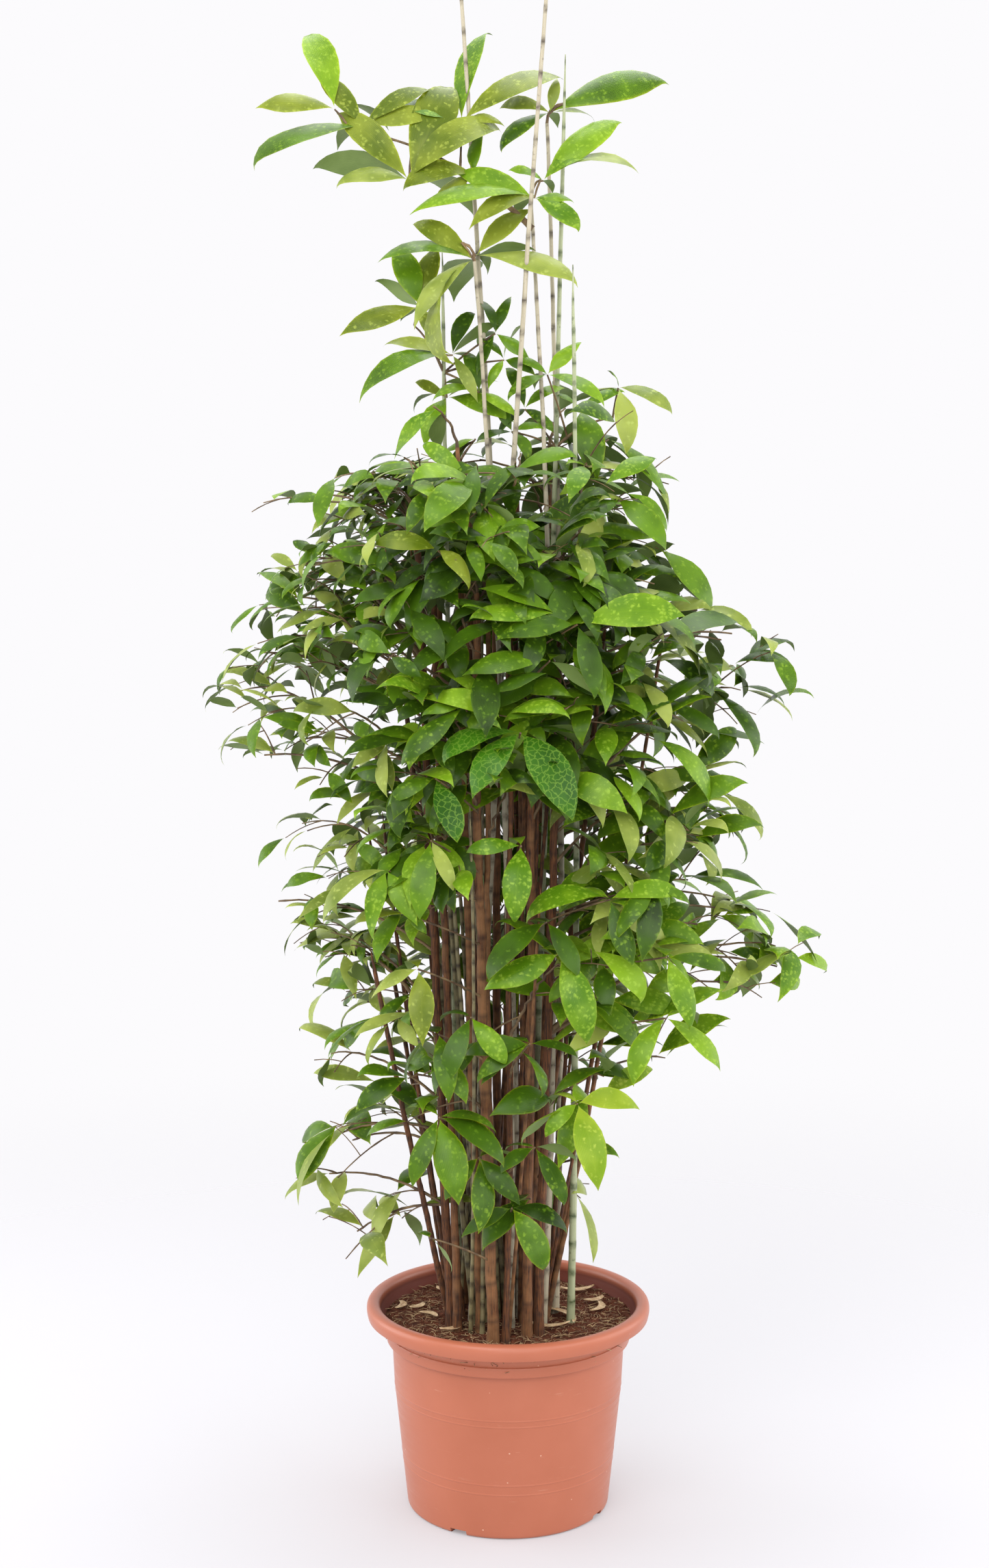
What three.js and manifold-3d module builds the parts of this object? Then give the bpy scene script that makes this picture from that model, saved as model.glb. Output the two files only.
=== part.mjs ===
// A potted dracaena: a clump of ringed and woody canes in a rolled-rim plastic pot, with sprays of
// leaves on side shoots all the way up and leafy tufts on the tallest canes.
// Millimetres and degrees, +Z up, origin at the middle of the pot's flat underside.
// The plant's front faces -Y. Azimuths run anticlockwise from +X, seen from above.
import * as THREE from "three";
import { mergeVertices } from "three/addons/utils/BufferGeometryUtils.js";
import Module from "manifold-3d";

const wasm = await Module();
wasm.setup();

// Gaps that keep neighbouring solids apart
const SEAT_GAP = 0.3;
const LEAF_CLEARANCE = 1.2;
const SPACE_MARGIN = 1.0;
const SLIVER = 0.01;

// The pot: a tapered wall, a collar and a rolled lip, with drainage notches in the foot
const POT = {
  height: 291,
  rimRadius: 200,
  lipWidth: 19,
  lipHeight: 29,
  collarHeight: 24,
  collarStep: 2.5,
  wallTopRadius: 167.5,
  footRadius: 142.5,
  footRound: 6,
  wall: 3,
  floor: 10,
  sides: 32,
  curveSteps: 2,
};
const NOTCH = { count: 4, firstAzimuth: 63, width: 23, height: 7, depth: 14 };
const SOIL = { level: 257, edgeDrop: 5, shoulder: 0.78 };

// The clump: feet on a sunflower spiral, one stool for each node
const CLUMP = { stools: 16, radius: 98, turn: 137.508 };
const CANE = { sides: 6, rings: [0, 0.03, 0.2, 0.45, 0.7, 0.94, 1], flareShare: 0.02 };
const TALL_CANES = [
  { name: "tall_cane_1", stool: 0, tip: [-72, 20, 2200], radius: 5.5, bow: [14, 0], leafy: false },
  { name: "tall_cane_2", stool: 4, tip: [58, -52, 2185], radius: 5.5, bow: [-10, -6], leafy: false },
  { name: "tall_cane_3", stool: 3, tip: [76, 12, 2012], radius: 5, bow: [4, 6], leafy: false },
  { name: "tall_cane_4", stool: 8, tip: [52, 34, 1925], radius: 5.5, bow: [14, 4], leafy: true },
  { name: "tall_cane_5", stool: 5, tip: [30, -4, 1812], radius: 5, bow: [22, -6], leafy: true },
  { name: "tall_cane_6", stool: 13, tip: [85, -48, 1728], radius: 5, bow: [8, -8], leafy: false },
  { name: "tall_cane_7", stool: 9, tip: [-90, 6, 1750], radius: 5, bow: [0, 6], leafy: false },
  { name: "tall_cane_8", stool: 2, tip: [-46, -22, 1735], radius: 5, bow: [16, -18], leafy: true },
];
const WOODY = {
  stools: [1, 6, 7, 10, 11, 12, 14, 15],
  spacing: 18,
  radius: 7.6,
  flare: 4.8,
  lowest: 1220,
  highest: 1500,
  fan: 0.42,
  spread: 1.7,
};

// The crown: tiers of sprays. Height is that of a tier's stem tips, rise is how far below them a stem
// leaves its cane, and left, right, front and back are the furthest leaf tips from the pot's axis.
// Scale is the size of the tier's twigs and leaves beside those of the full crown.
const TIERS = [
  { name: "foot", height: 480, rise: 40, left: 340, right: 190, front: 235, back: 230, scale: 0.74 },
  { name: "low", height: 650, rise: 60, left: 328, right: 310, front: 260, back: 260, scale: 0.84 },
  { name: "broad_low", height: 805, rise: 110, left: 362, right: 460, front: 280, back: 290, scale: 1 },
  { name: "middle", height: 975, rise: 110, left: 344, right: 350, front: 285, back: 300, scale: 1 },
  { name: "broad_high", height: 1160, rise: 180, left: 446, right: 416, front: 300, back: 310, scale: 1 },
  { name: "upper", height: 1320, rise: 120, left: 349, right: 290, front: 290, back: 290, scale: 1 },
  { name: "crest", height: 1450, rise: 90, left: 300, right: 275, front: 240, back: 240, scale: 0.92 },
];
const TIER_AZIMUTHS = {
  foot: [184, 282, 30],
  low: [180, 228, 312, 352, 85],
  broad_low: [172, 0, 292, 90],
  middle: [188, 240, 345, 92],
  broad_high: [176, 246, 302, 4, 84],
  upper: [184, 240, 300, 6, 96],
  crest: [162, 272, 22],
};
// Tufts near the top: the cane that bears each, where its stem starts, as a height or else at the cane's
// tip, how far the furthest leaf tips stand out from there, and how far the stem climbs.
const TUFTS = [
  { name: "tuft_left", cane: "tall_cane_5", at: 1780, azimuth: 176, reach: 370, climb: 130, bough: true },
  { name: "tuft_right", cane: "tall_cane_4", azimuth: 350, reach: 150, climb: 26 },
  { name: "tuft_middle", cane: "tall_cane_5", azimuth: 300, reach: 150, climb: 30 },
  { name: "tuft_inner", cane: "tall_cane_8", azimuth: 205, reach: 145, climb: 24 },
  { name: "tuft_side", cane: "tall_cane_7", at: 1590, azimuth: 200, reach: 168, climb: 62 },
  { name: "tuft_low", cane: "tall_cane_3", at: 1490, azimuth: 10, reach: 205, climb: 40 },
];
const TUFT = { scale: 0.86, lift: 14 };
const BOUGH = { longReach: 346, share: 0.42, radius: 4.6, sides: 5 };
const STEM = { radius: 3.2, tipRadius: 1.9, sides: 3, arch: 0.2, kneeShare: 0.5 };
const TWIG = { length: 100, radius: 2.2, tipRadius: 1.7, sides: 3, splay: 58, droop: -36, perk: 54 };
const TWIG_NODES = [0.22, 0.46, 0.7];

// A leaf, larger than life because the solids have fewer leaves than the plant
const LEAF = { length: 146, width: 58, widestAt: 0.42, bend: 52, keel: 2.4, keelAt: 0.14, sink: 0.5 };
// How leaves stand on twigs and on a stem's tip: how many, from where to where, and how they turn
const WHORL = { onTwig: 4, onTip: 5, from: 0.5, to: 0.97, twigSplay: 66, tipSplay: 96 };
const STANCE = { droop: -66, perk: 34, sway: 16, roll: 24, smallest: 0.8, largest: 1.06, tries: 6 };

const COLOURS = {
  pot: { color: "#bf6a4c", roughness: 0.55 },
  soil: { color: "#3d2b22", roughness: 0.95 },
  tall: { color: "#a9ad84", roughness: 0.6 },
  woody: { color: "#5a4033", roughness: 0.85 },
  bough: { color: "#5d4636", roughness: 0.8 },
  leaf: { color: "#3f7a1f", roughness: 0.4 },
};

const toRadians = THREE.MathUtils.degToRad;
const UP = new THREE.Vector3(0, 0, 1);

// A repeatable stream of numbers from 0 to 1.
function randomStream(seed) {
  let state = seed >>> 0;
  return () => {
    state = (state + 0x6d2b79f5) >>> 0;
    let t = Math.imul(state ^ (state >>> 15), state | 1);
    t ^= t + Math.imul(t ^ (t >>> 7), t | 61);
    return ((t ^ (t >>> 14)) >>> 0) / 4294967296;
  };
}

// A level direction at an azimuth, lifted by a pitch.
function heading(azimuth, pitch = 0) {
  const a = toRadians(azimuth);
  const p = toRadians(pitch);
  return new THREE.Vector3(Math.cos(a) * Math.cos(p), Math.sin(a) * Math.cos(p), Math.sin(p));
}

// Solids and geometries
function toSolid(geometry) {
  const bare = geometry.clone();
  bare.deleteAttribute("normal");
  bare.deleteAttribute("uv");
  const merged = mergeVertices(bare, 1e-3);
  return new wasm.Manifold(
    new wasm.Mesh({
      numProp: 3,
      vertProperties: merged.attributes.position.array,
      triVerts: new Uint32Array(merged.index.array),
    }),
  );
}

function toGeometry(solid) {
  const mesh = solid.getMesh();
  const geometry = new THREE.BufferGeometry();
  geometry.setAttribute("position", new THREE.BufferAttribute(mesh.vertProperties, mesh.numProp));
  geometry.setIndex(new THREE.BufferAttribute(mesh.triVerts, 1));
  geometry.computeVertexNormals();
  return geometry;
}

// The largest body of a joined solid, without the slivers of its joins: a loose scrap is dropped.
function mainBody(solid) {
  const bodies = solid.simplify(SLIVER).decompose();
  return bodies.reduce((best, body) => (body.volume() > best.volume() ? body : best));
}

// True where two solids share space, with a quick test on their boxes first.
function meets(a, b) {
  const p = a.boundingBox();
  const q = b.boundingBox();
  const apart = [0, 1, 2].some((i) => p.max[i] < q.min[i] || q.max[i] < p.min[i]);
  return !apart && a.intersect(b).volume() > 0;
}

// Part of a curve, from one share of its length to another.
class Stretch extends THREE.Curve {
  constructor(curve, from, to) {
    super();
    Object.assign(this, { curve, from, to });
  }
  getPoint(t, target = new THREE.Vector3()) {
    return this.curve.getPoint(THREE.MathUtils.lerp(this.from, this.to, t), target);
  }
}

// A tapering limb round a curve: a rod with a ring at each share of its length, bent along the curve.
// A level limb has flat, level ends.
function limb({ curve, radiusAt, sides, rings, level = false }) {
  const steps = rings.length - 1;
  const rod = new THREE.CylinderGeometry(1, 1, 1, sides, steps);
  const frames = curve.computeFrenetFrames(steps);
  const position = rod.attributes.position;
  const out = new THREE.Vector3();
  for (let i = 0; i < position.count; i++) {
    const ring = Math.round((position.getY(i) + 0.5) * steps);
    const share = rings[ring];
    const across = level ? new THREE.Vector3(1, 0, 0) : frames.binormals[ring];
    const along = level ? new THREE.Vector3(0, -1, 0) : frames.normals[ring];
    const radius = radiusAt(share);
    curve.getPoint(share, out);
    out.addScaledVector(across, position.getX(i) * radius);
    out.addScaledVector(along, position.getZ(i) * radius);
    position.setXYZ(i, out.x, out.y, out.z);
  }
  return rod;
}

const evenRings = (steps) => Array.from({ length: steps + 1 }, (_, i) => i / steps);
const taper = (from, to) => (share) => THREE.MathUtils.lerp(from, to, share);

// The same limb, thicker by a gap all round: what its neighbours keep clear of.
function widened(shape, gap) {
  return toSolid(limb({ ...shape, radiusAt: (share) => shape.radiusAt(share) + gap }));
}

// Pot and soil
const COLLAR_FOOT = POT.height - POT.lipHeight - POT.collarHeight;
const LIP_FOOT = POT.height - POT.lipHeight;
const LIP_MIDDLE = POT.height - 0.43 * POT.lipHeight;
const LIP_INSIDE = POT.rimRadius - POT.lipWidth;

function innerRadius(z) {
  const wallTop = POT.wallTopRadius - POT.wall;
  if (z > COLLAR_FOOT) {
    return THREE.MathUtils.mapLinear(z, COLLAR_FOOT, LIP_MIDDLE, wallTop, LIP_INSIDE);
  }
  return THREE.MathUtils.mapLinear(z, POT.floor, COLLAR_FOOT, POT.footRadius - POT.wall, wallTop);
}

function turned(path) {
  return new THREE.LatheGeometry(path.getPoints(POT.curveSteps), POT.sides).rotateX(Math.PI / 2);
}

function potGeometry() {
  const lipCrest = POT.rimRadius - POT.lipWidth / 2;
  const collarTop = LIP_INSIDE + 6;
  const outline = new THREE.Path()
    .moveTo(0, 0)
    .lineTo(POT.footRadius - POT.footRound, 0)
    .quadraticCurveTo(POT.footRadius, 0, POT.footRadius, POT.footRound)
    .lineTo(POT.wallTopRadius, COLLAR_FOOT)
    .lineTo(POT.wallTopRadius + POT.collarStep, COLLAR_FOOT + POT.collarStep)
    .quadraticCurveTo(POT.wallTopRadius + 2 * POT.collarStep, LIP_FOOT - 4, collarTop, LIP_FOOT)
    .lineTo(POT.rimRadius - 6, LIP_FOOT + 2)
    .quadraticCurveTo(POT.rimRadius, LIP_FOOT + 5, POT.rimRadius, LIP_MIDDLE)
    .quadraticCurveTo(POT.rimRadius, POT.height, lipCrest, POT.height)
    .quadraticCurveTo(LIP_INSIDE, POT.height, LIP_INSIDE, LIP_MIDDLE)
    .lineTo(innerRadius(COLLAR_FOOT), COLLAR_FOOT)
    .lineTo(innerRadius(POT.floor), POT.floor)
    .lineTo(0, POT.floor);
  let pot = toSolid(turned(outline));
  for (let i = 0; i < NOTCH.count; i++) {
    const cut = new THREE.BoxGeometry(2 * NOTCH.depth, NOTCH.width, 2 * NOTCH.height);
    cut.translate(POT.footRadius, 0, 0);
    cut.rotateZ(toRadians(NOTCH.firstAzimuth + (360 / NOTCH.count) * i));
    pot = pot.subtract(toSolid(cut));
  }
  return toGeometry(pot);
}

function soilGeometry() {
  const low = POT.floor + SEAT_GAP;
  const edge = SOIL.level - SOIL.edgeDrop;
  const outline = new THREE.Path()
    .moveTo(0, low)
    .lineTo(innerRadius(low) - SEAT_GAP, low)
    .lineTo(innerRadius(COLLAR_FOOT) - SEAT_GAP, COLLAR_FOOT)
    .lineTo(innerRadius(edge) - SEAT_GAP, edge)
    .lineTo(innerRadius(edge) * SOIL.shoulder, SOIL.level)
    .lineTo(0, SOIL.level);
  return turned(outline);
}

// Canes
function stoolFoot(stool) {
  const radius = CLUMP.radius * Math.sqrt((stool + 0.5) / CLUMP.stools);
  const foot = heading(stool * CLUMP.turn).multiplyScalar(radius);
  return foot.setZ(SOIL.level + SEAT_GAP);
}

function caneShape(foot, tip, bow, radius, tipRadius, flare) {
  const middle = foot.clone().lerp(tip, 0.5).add(new THREE.Vector3(bow[0], bow[1], 0).multiplyScalar(2));
  const curve = new THREE.QuadraticBezierCurve3(foot, middle, tip);
  const radiusAt = (share) => {
    const stem = radius * (1 - 0.3 * share);
    const root = flare * Math.exp(-share / CANE.flareShare);
    return share > 0.99 ? tipRadius : stem + root;
  };
  return { curve, radiusAt, sides: CANE.sides, rings: CANE.rings, level: true };
}

function tallCane({ name, stool, tip, radius, bow, leafy }) {
  const end = new THREE.Vector3(...tip);
  const shape = caneShape(stoolFoot(stool), end, bow, radius, leafy ? radius * 0.66 : 0.7, 1.2);
  return { name, colour: COLOURS.tall, shapes: [shape], woody: false };
}

// A stool of two woody canes that grow from one root and part as they rise.
function woodyCanes(stool, index) {
  const random = randomStream(100 + stool);
  const foot = stoolFoot(stool);
  const outward = foot.clone().setZ(0).normalize();
  const sideways = new THREE.Vector3(-outward.y, outward.x, 0);
  const shapes = [-0.5, 0.5].map((side) => {
    const base = foot.clone().addScaledVector(sideways, side * WOODY.spacing);
    const height = THREE.MathUtils.lerp(WOODY.lowest, WOODY.highest, random());
    const radius = WOODY.radius * (0.85 + 0.25 * random());
    const tip = base.clone().setZ(height);
    tip.addScaledVector(outward, WOODY.fan * Math.hypot(foot.x, foot.y) + 10 * random());
    tip.addScaledVector(sideways, side * WOODY.spacing * WOODY.spread);
    const bow = [8 * (random() - 0.5), 8 * (random() - 0.5)];
    return caneShape(base, tip, bow, radius, radius * 0.62, WOODY.flare);
  });
  return { name: `woody_canes_${index + 1}`, colour: COLOURS.woody, shapes, woody: true };
}

function finishCane(cane) {
  cane.solid = wasm.Manifold.union(cane.shapes.map((shape) => toSolid(limb(shape))));
  cane.clear = wasm.Manifold.union(cane.shapes.map((shape) => widened(shape, SEAT_GAP)));
  for (const shape of cane.shapes) shape.away = widened(shape, LEAF_CLEARANCE);
  return cane;
}

// The point of a cane's axis at a height.
function axisAt(shape, height) {
  let low = 0;
  let high = 1;
  for (let i = 0; i < 30; i++) {
    const middle = (low + high) / 2;
    if (shape.curve.getPoint(middle).z < height) low = middle;
    else high = middle;
  }
  return shape.curve.getPoint(low);
}

// Stems: where each spray leaves its cane and where its stem ends
function tierReach(tier, azimuth) {
  const { x, y } = heading(azimuth);
  const across = x < 0 ? tier.left : tier.right;
  const deep = y < 0 ? tier.front : tier.back;
  return 1 / Math.hypot(x / across, y / deep);
}

// The canes that rise well past a height, those that stand furthest out towards an azimuth first.
function carriersFor(canes, azimuth, height) {
  const towards = heading(azimuth);
  return canes
    .filter((cane) => cane.woody || height > WOODY.lowest)
    .flatMap((cane) => cane.shapes.map((shape) => ({ cane, shape })))
    .filter(({ shape }) => shape.curve.v2.z > height + 15)
    .map((entry) => ({ ...entry, root: axisAt(entry.shape, height) }))
    .sort((a, b) => b.root.dot(towards) - a.root.dot(towards));
}

function stemCurve(root, tip) {
  const knee = root.clone().lerp(tip, STEM.kneeShare);
  knee.z += STEM.arch * root.distanceTo(tip);
  return new THREE.QuadraticBezierCurve3(root, knee, tip);
}

// True where a stem along a curve passes clear of every cane but its own.
function runsClear(curve, own, canes) {
  const radiusAt = () => BOUGH.radius;
  const path = toSolid(limb({ curve, radiusAt, sides: STEM.sides, rings: evenRings(4) }));
  return canes.every((cane) => cane.shapes.every((shape) => shape === own || !meets(path, shape.away)));
}

function tierSprays(tier, canes) {
  return TIER_AZIMUTHS[tier.name].map((azimuth, i) => {
    const reach = tierReach(tier, azimuth);
    const tip = heading(azimuth).multiplyScalar(reach - 0.82 * tier.scale * LEAF.length).setZ(tier.height);
    const choices = carriersFor(canes, azimuth, tier.height - tier.rise);
    const choice = choices.find(({ shape, root }) => runsClear(stemCurve(root, tip), shape, canes));
    const curve = stemCurve(choice.root, tip);
    const long = reach > BOUGH.longReach;
    const { scale } = tier;
    return { name: `${tier.name}_${i + 1}`, azimuth, cane: choice.cane, curve, long, scale, lift: 0 };
  });
}

function tuftSpray({ name, cane, at, azimuth, reach, climb, bough = false }, canes) {
  const bearer = canes.find((entry) => entry.name === cane);
  const [shape] = bearer.shapes;
  const onTip = at === undefined;
  const root = onTip ? shape.curve.getPoint(1).add(new THREE.Vector3(0, 0, SEAT_GAP)) : axisAt(shape, at);
  const tip = root.clone().addScaledVector(heading(azimuth), reach - TUFT.scale * LEAF.length);
  tip.z += climb;
  const curve = stemCurve(root, tip);
  if (onTip) curve.v1.copy(root).setZ(tip.z);
  return { name, azimuth, cane: bearer, curve, long: bough, onTip, ...TUFT };
}

// Splits a long spray's curve into a bare bough and the leafy stem that goes on from its tip.
function addLimbs(spray) {
  const length = spray.curve.getLength();
  const from = spray.long ? BOUGH.share : 0;
  const gap = spray.long ? SEAT_GAP / length : 0;
  const stemRings = evenRings(3);
  spray.stem = {
    curve: new Stretch(spray.curve, from + gap, 1),
    radiusAt: taper(STEM.radius, STEM.tipRadius),
    sides: STEM.sides,
    rings: stemRings,
  };
  spray.shapes = [spray.stem];
  if (spray.long) {
    spray.bough = {
      curve: new Stretch(spray.curve, 0, from),
      radiusAt: taper(BOUGH.radius, STEM.radius),
      sides: BOUGH.sides,
      rings: stemRings,
    };
    spray.shapes.push(spray.bough);
  }
  for (const shape of spray.shapes) shape.away = widened(shape, LEAF_CLEARANCE);
  spray.centre = spray.curve.getPoint(spray.long ? 0.86 : 0.72);
  return spray;
}

// Leaves: one blade that bends down along its length, thickest at the keel near its root, which is sunk
// a little behind the origin, with its tip along +X. Its copies are turned about the origin.
function leafBlade() {
  const bend = toRadians(LEAF.bend);
  const point = (share, across, lift) => {
    const turn = bend * (0.5 - share);
    const forward = (Math.sin(bend / 2) - Math.sin(turn)) / bend;
    const rise = (Math.cos(turn) - Math.cos(bend / 2)) / bend;
    return new THREE.Vector3(LEAF.length * forward - LEAF.sink, across, LEAF.length * rise + lift);
  };
  const corners = [
    point(0, 0, 0),
    point(LEAF.widestAt, -LEAF.width / 2, 0),
    point(1, 0, 0),
    point(LEAF.widestAt, LEAF.width / 2, 0),
    point(LEAF.keelAt, 0, LEAF.keel / 2),
    point(LEAF.keelAt, 0, -LEAF.keel / 2),
  ];
  const faces = [4, 0, 1, 4, 1, 2, 4, 2, 3, 4, 3, 0, 5, 1, 0, 5, 2, 1, 5, 3, 2, 5, 0, 3];
  return new THREE.BufferGeometry().setFromPoints(corners).setIndex(faces);
}

const BLADE = leafBlade();

function turnedLeaf(root, azimuth, pitch, roll, size) {
  return BLADE.clone()
    .scale(size, size, size)
    .rotateX(toRadians(roll))
    .rotateY(toRadians(-pitch))
    .rotateZ(toRadians(azimuth))
    .translate(root.x, root.y, root.z);
}

function cornersOf(geometry) {
  const { position } = geometry.attributes;
  const corner = (_, i) => new THREE.Vector3().fromBufferAttribute(position, i);
  return Array.from({ length: position.count }, corner);
}

// True where a point lies in a spray's own space, which ends half way to every other spray.
function insideSpace(point, spray, others) {
  const own = point.distanceToSquared(spray.centre);
  return others.every((other) => {
    const span = 2 * other.centre.distanceTo(spray.centre);
    return (point.distanceToSquared(other.centre) - own) / span > SPACE_MARGIN;
  });
}

// One mass of foliage: a stem with twigs at its nodes by turns to either side, and leaves along the
// outer end of each twig and of the stem, the last one straight ahead.
function growSpray(spray, index, sprays, canes) {
  const random = randomStream(8000 + 31 * index);
  const between = (low, high) => THREE.MathUtils.lerp(low, high, random());
  const others = sprays.filter((other) => other !== spray);
  const limbs = [...canes.flatMap((cane) => cane.shapes), ...others.flatMap((other) => other.shapes)];
  if (spray.bough) limbs.push(spray.bough);
  const obstacles = limbs.map((shape) => shape.away);
  const fits = (solid, corners, pieces) =>
    corners.every((corner) => insideSpace(corner, spray, others)) &&
    ![...obstacles, ...pieces].some((piece) => meets(solid, piece));

  const stem = {
    curve: spray.stem.curve,
    azimuth: spray.azimuth,
    leaves: WHORL.onTip,
    splay: WHORL.tipSplay,
    solid: toSolid(limb(spray.stem)),
  };
  const bearers = [stem];
  TWIG_NODES.forEach((share, node) => {
    const from = stem.curve.getPoint(share);
    const hand = node % 2 ? 1 : -1;
    const azimuth = spray.azimuth + hand * between(0.75, 1.25) * TWIG.splay;
    const length = spray.scale * TWIG.length * between(0.7, 1.1);
    const to = from.clone().addScaledVector(heading(azimuth, between(TWIG.droop, TWIG.perk)), length);
    const curve = new THREE.LineCurve3(from, to);
    const radiusAt = taper(TWIG.radius, TWIG.tipRadius);
    const solid = toSolid(limb({ curve, radiusAt, sides: TWIG.sides, rings: evenRings(1) }));
    if (!fits(solid, [to], [])) return;
    bearers.push({ curve, azimuth, leaves: WHORL.onTwig, splay: WHORL.twigSplay, solid });
  });

  const leaves = [];
  for (const bearer of bearers) {
    const apart = bearers.filter((other) => other !== bearer).map((other) => other.solid);
    for (let i = 0; i < bearer.leaves; i++) {
      const order = i / (bearer.leaves - 1);
      const root = bearer.curve.getPoint(THREE.MathUtils.lerp(WHORL.from, WHORL.to, order));
      const turn = (1 - order) * (i % 2 ? 1 : -1);
      for (let attempt = 0; attempt < STANCE.tries; attempt++) {
        const facing = bearer.azimuth + bearer.splay * turn + between(-STANCE.sway, STANCE.sway);
        const pitch = between(STANCE.droop, STANCE.perk) + spray.lift;
        const roll = between(-STANCE.roll, STANCE.roll);
        const size = spray.scale * between(STANCE.smallest, STANCE.largest) * (attempt > 2 ? 0.75 : 1);
        const leaf = turnedLeaf(root, facing, pitch, roll, size);
        const solid = toSolid(leaf);
        if (fits(solid, cornersOf(leaf).slice(1), [...apart, ...leaves])) {
          leaves.push(solid);
          break;
        }
      }
    }
  }
  const mass = wasm.Manifold.union([...bearers.map((bearer) => bearer.solid), ...leaves]);
  return mainBody(spray.bough || spray.onTip ? mass : mass.subtract(spray.cane.clear));
}

// The plant
const plant = new THREE.Group();

function addPart(name, geometry, look) {
  const mesh = new THREE.Mesh(geometry, new THREE.MeshStandardMaterial({ metalness: 0, ...look }));
  mesh.name = name;
  plant.add(mesh);
}

addPart("pot", potGeometry(), COLOURS.pot);
addPart("soil", soilGeometry(), COLOURS.soil);

const canes = [...TALL_CANES.map(tallCane), ...WOODY.stools.map(woodyCanes)].map(finishCane);
for (const cane of canes) {
  addPart(cane.name, toGeometry(cane.solid), cane.colour);
}

const sprays = [
  ...TIERS.flatMap((tier) => tierSprays(tier, canes)),
  ...TUFTS.map((tuft) => tuftSpray(tuft, canes)),
].map(addLimbs);
sprays.forEach((spray, index) => {
  if (spray.bough) {
    const bough = toSolid(limb(spray.bough)).subtract(spray.cane.clear);
    addPart(`bough_${spray.name}`, toGeometry(mainBody(bough)), COLOURS.bough);
  }
  addPart(`foliage_${spray.name}`, toGeometry(growSpray(spray, index, sprays, canes)), COLOURS.leaf);
});

export default plant;
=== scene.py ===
# A potted dracaena: a clump of woody and ringed canes in a rolled-rim plastic pot, leafy all the way up.
# Named sizes are millimetres and degrees, and meshes are metres. +Z is up and the plant's front faces -Y.
import math
from collections import namedtuple
from functools import partial
from itertools import product

import bpy
import numpy as np
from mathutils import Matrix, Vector, noise


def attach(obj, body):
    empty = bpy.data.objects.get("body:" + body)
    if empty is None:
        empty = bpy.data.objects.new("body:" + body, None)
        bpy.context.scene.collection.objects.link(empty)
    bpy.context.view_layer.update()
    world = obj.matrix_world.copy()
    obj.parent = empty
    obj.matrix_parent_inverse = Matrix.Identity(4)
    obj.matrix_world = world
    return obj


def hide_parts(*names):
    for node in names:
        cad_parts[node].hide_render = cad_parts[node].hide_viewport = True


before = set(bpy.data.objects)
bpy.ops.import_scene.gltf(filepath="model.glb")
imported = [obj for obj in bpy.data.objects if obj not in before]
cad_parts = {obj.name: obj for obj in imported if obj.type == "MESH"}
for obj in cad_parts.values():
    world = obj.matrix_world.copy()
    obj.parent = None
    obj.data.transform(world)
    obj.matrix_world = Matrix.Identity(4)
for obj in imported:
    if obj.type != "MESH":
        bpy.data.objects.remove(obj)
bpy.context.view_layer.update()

# Camera
# It stands 3.2 m in front of the plant, just above the middle of the crown, and looks slightly down.
# The lens follows from the frame of the picture, which is 1445 by 2292 pixels.
MM = 0.001
PICTURE_HEIGHT = 2292
FOCAL_PIXELS = 3400
SENSOR = 36
CAMERA_PLACE = (-19.2, -3200, 1378)
CAMERA_TILT = 83.75


def add_object(name, data):
    """A new object at the scene's origin."""
    made = bpy.data.objects.new(name, data)
    bpy.context.scene.collection.objects.link(made)
    return made


camera = add_object("camera", bpy.data.cameras.new("camera"))
camera.data.sensor_fit = "VERTICAL"
camera.data.sensor_height = SENSOR
camera.data.lens = SENSOR * FOCAL_PIXELS / PICTURE_HEIGHT
camera.location = [MM * value for value in CAMERA_PLACE]
camera.rotation_euler = (math.radians(CAMERA_TILT), 0, 0)
bpy.context.scene.camera = camera

# Pot
# A growers' pot in one piece of injection-moulded polypropylene, coloured terracotta right through. The
# tapered wall ends in a stepped collar and a hollow rolled lip, with moulding lines and four drain notches.
POT_SIDES = 144
POT_HEIGHT = 294
POT_FOOT_RADIUS = 142.5
POT_TOP_RADIUS = 167.5
POT_RIM_RADIUS = 200
POT_WALL = 3
POT_FLOOR = 10
LIP_INSIDE = 181
LIP_FOOT = 272
LIP_MIDDLE = 281
LIP_HOLLOW = 12
LIP_DRAFT = 2
COLLAR_FOOT = 238
COLLAR_TOP = 254
COLLAR_STEP = 4.4
COLLAR_DRAFT = 1.4
NECK_RADIUS = 171
CREASE = 3.4
MOULDING_LINES = [66, 80, 166, 175]
MOULDING_WIDTH = 1.6
MOULDING_STEP = 0.45
NOTCH_COUNT = 4
NOTCH_FIRST_AZIMUTH = 61
NOTCH_SIZE = (46, 25, 7.5)
CORNER_STEPS = 6
SHARP_ANGLE = 32
# The inside's painted shade and soil stain fade out over this height above the lip's middle, on points
# within this margin of the inner wall.
STAIN_AND_SHADE_FADE = 6
STAIN_AND_SHADE_MARGIN = 1


def linear(hex_colour):
    """An sRGB hex colour as linear red, green, blue and alpha."""
    shades = [int(hex_colour[i : i + 2], 16) / 255 for i in (1, 3, 5)]
    return [s / 12.92 if s <= 0.04045 else ((s + 0.055) / 1.055) ** 2.4 for s in shades] + [1]


def feed(node, inputs):
    """Sets or links a node's inputs; each is a value, a hex colour, a socket or a node's first output."""
    for name, value in inputs.items():
        named = [s for s in node.inputs if s.enabled and s.name == name]
        socket = node.inputs[name] if isinstance(name, int) else named[0]
        if isinstance(value, bpy.types.Node):
            value = next(s for s in value.outputs if s.enabled)
        if isinstance(value, bpy.types.NodeSocket):
            node.id_data.links.new(value, socket)
        elif isinstance(value, str) and value.startswith("#"):
            socket.default_value = linear(value)
        else:
            socket.default_value = value
    return node


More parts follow.
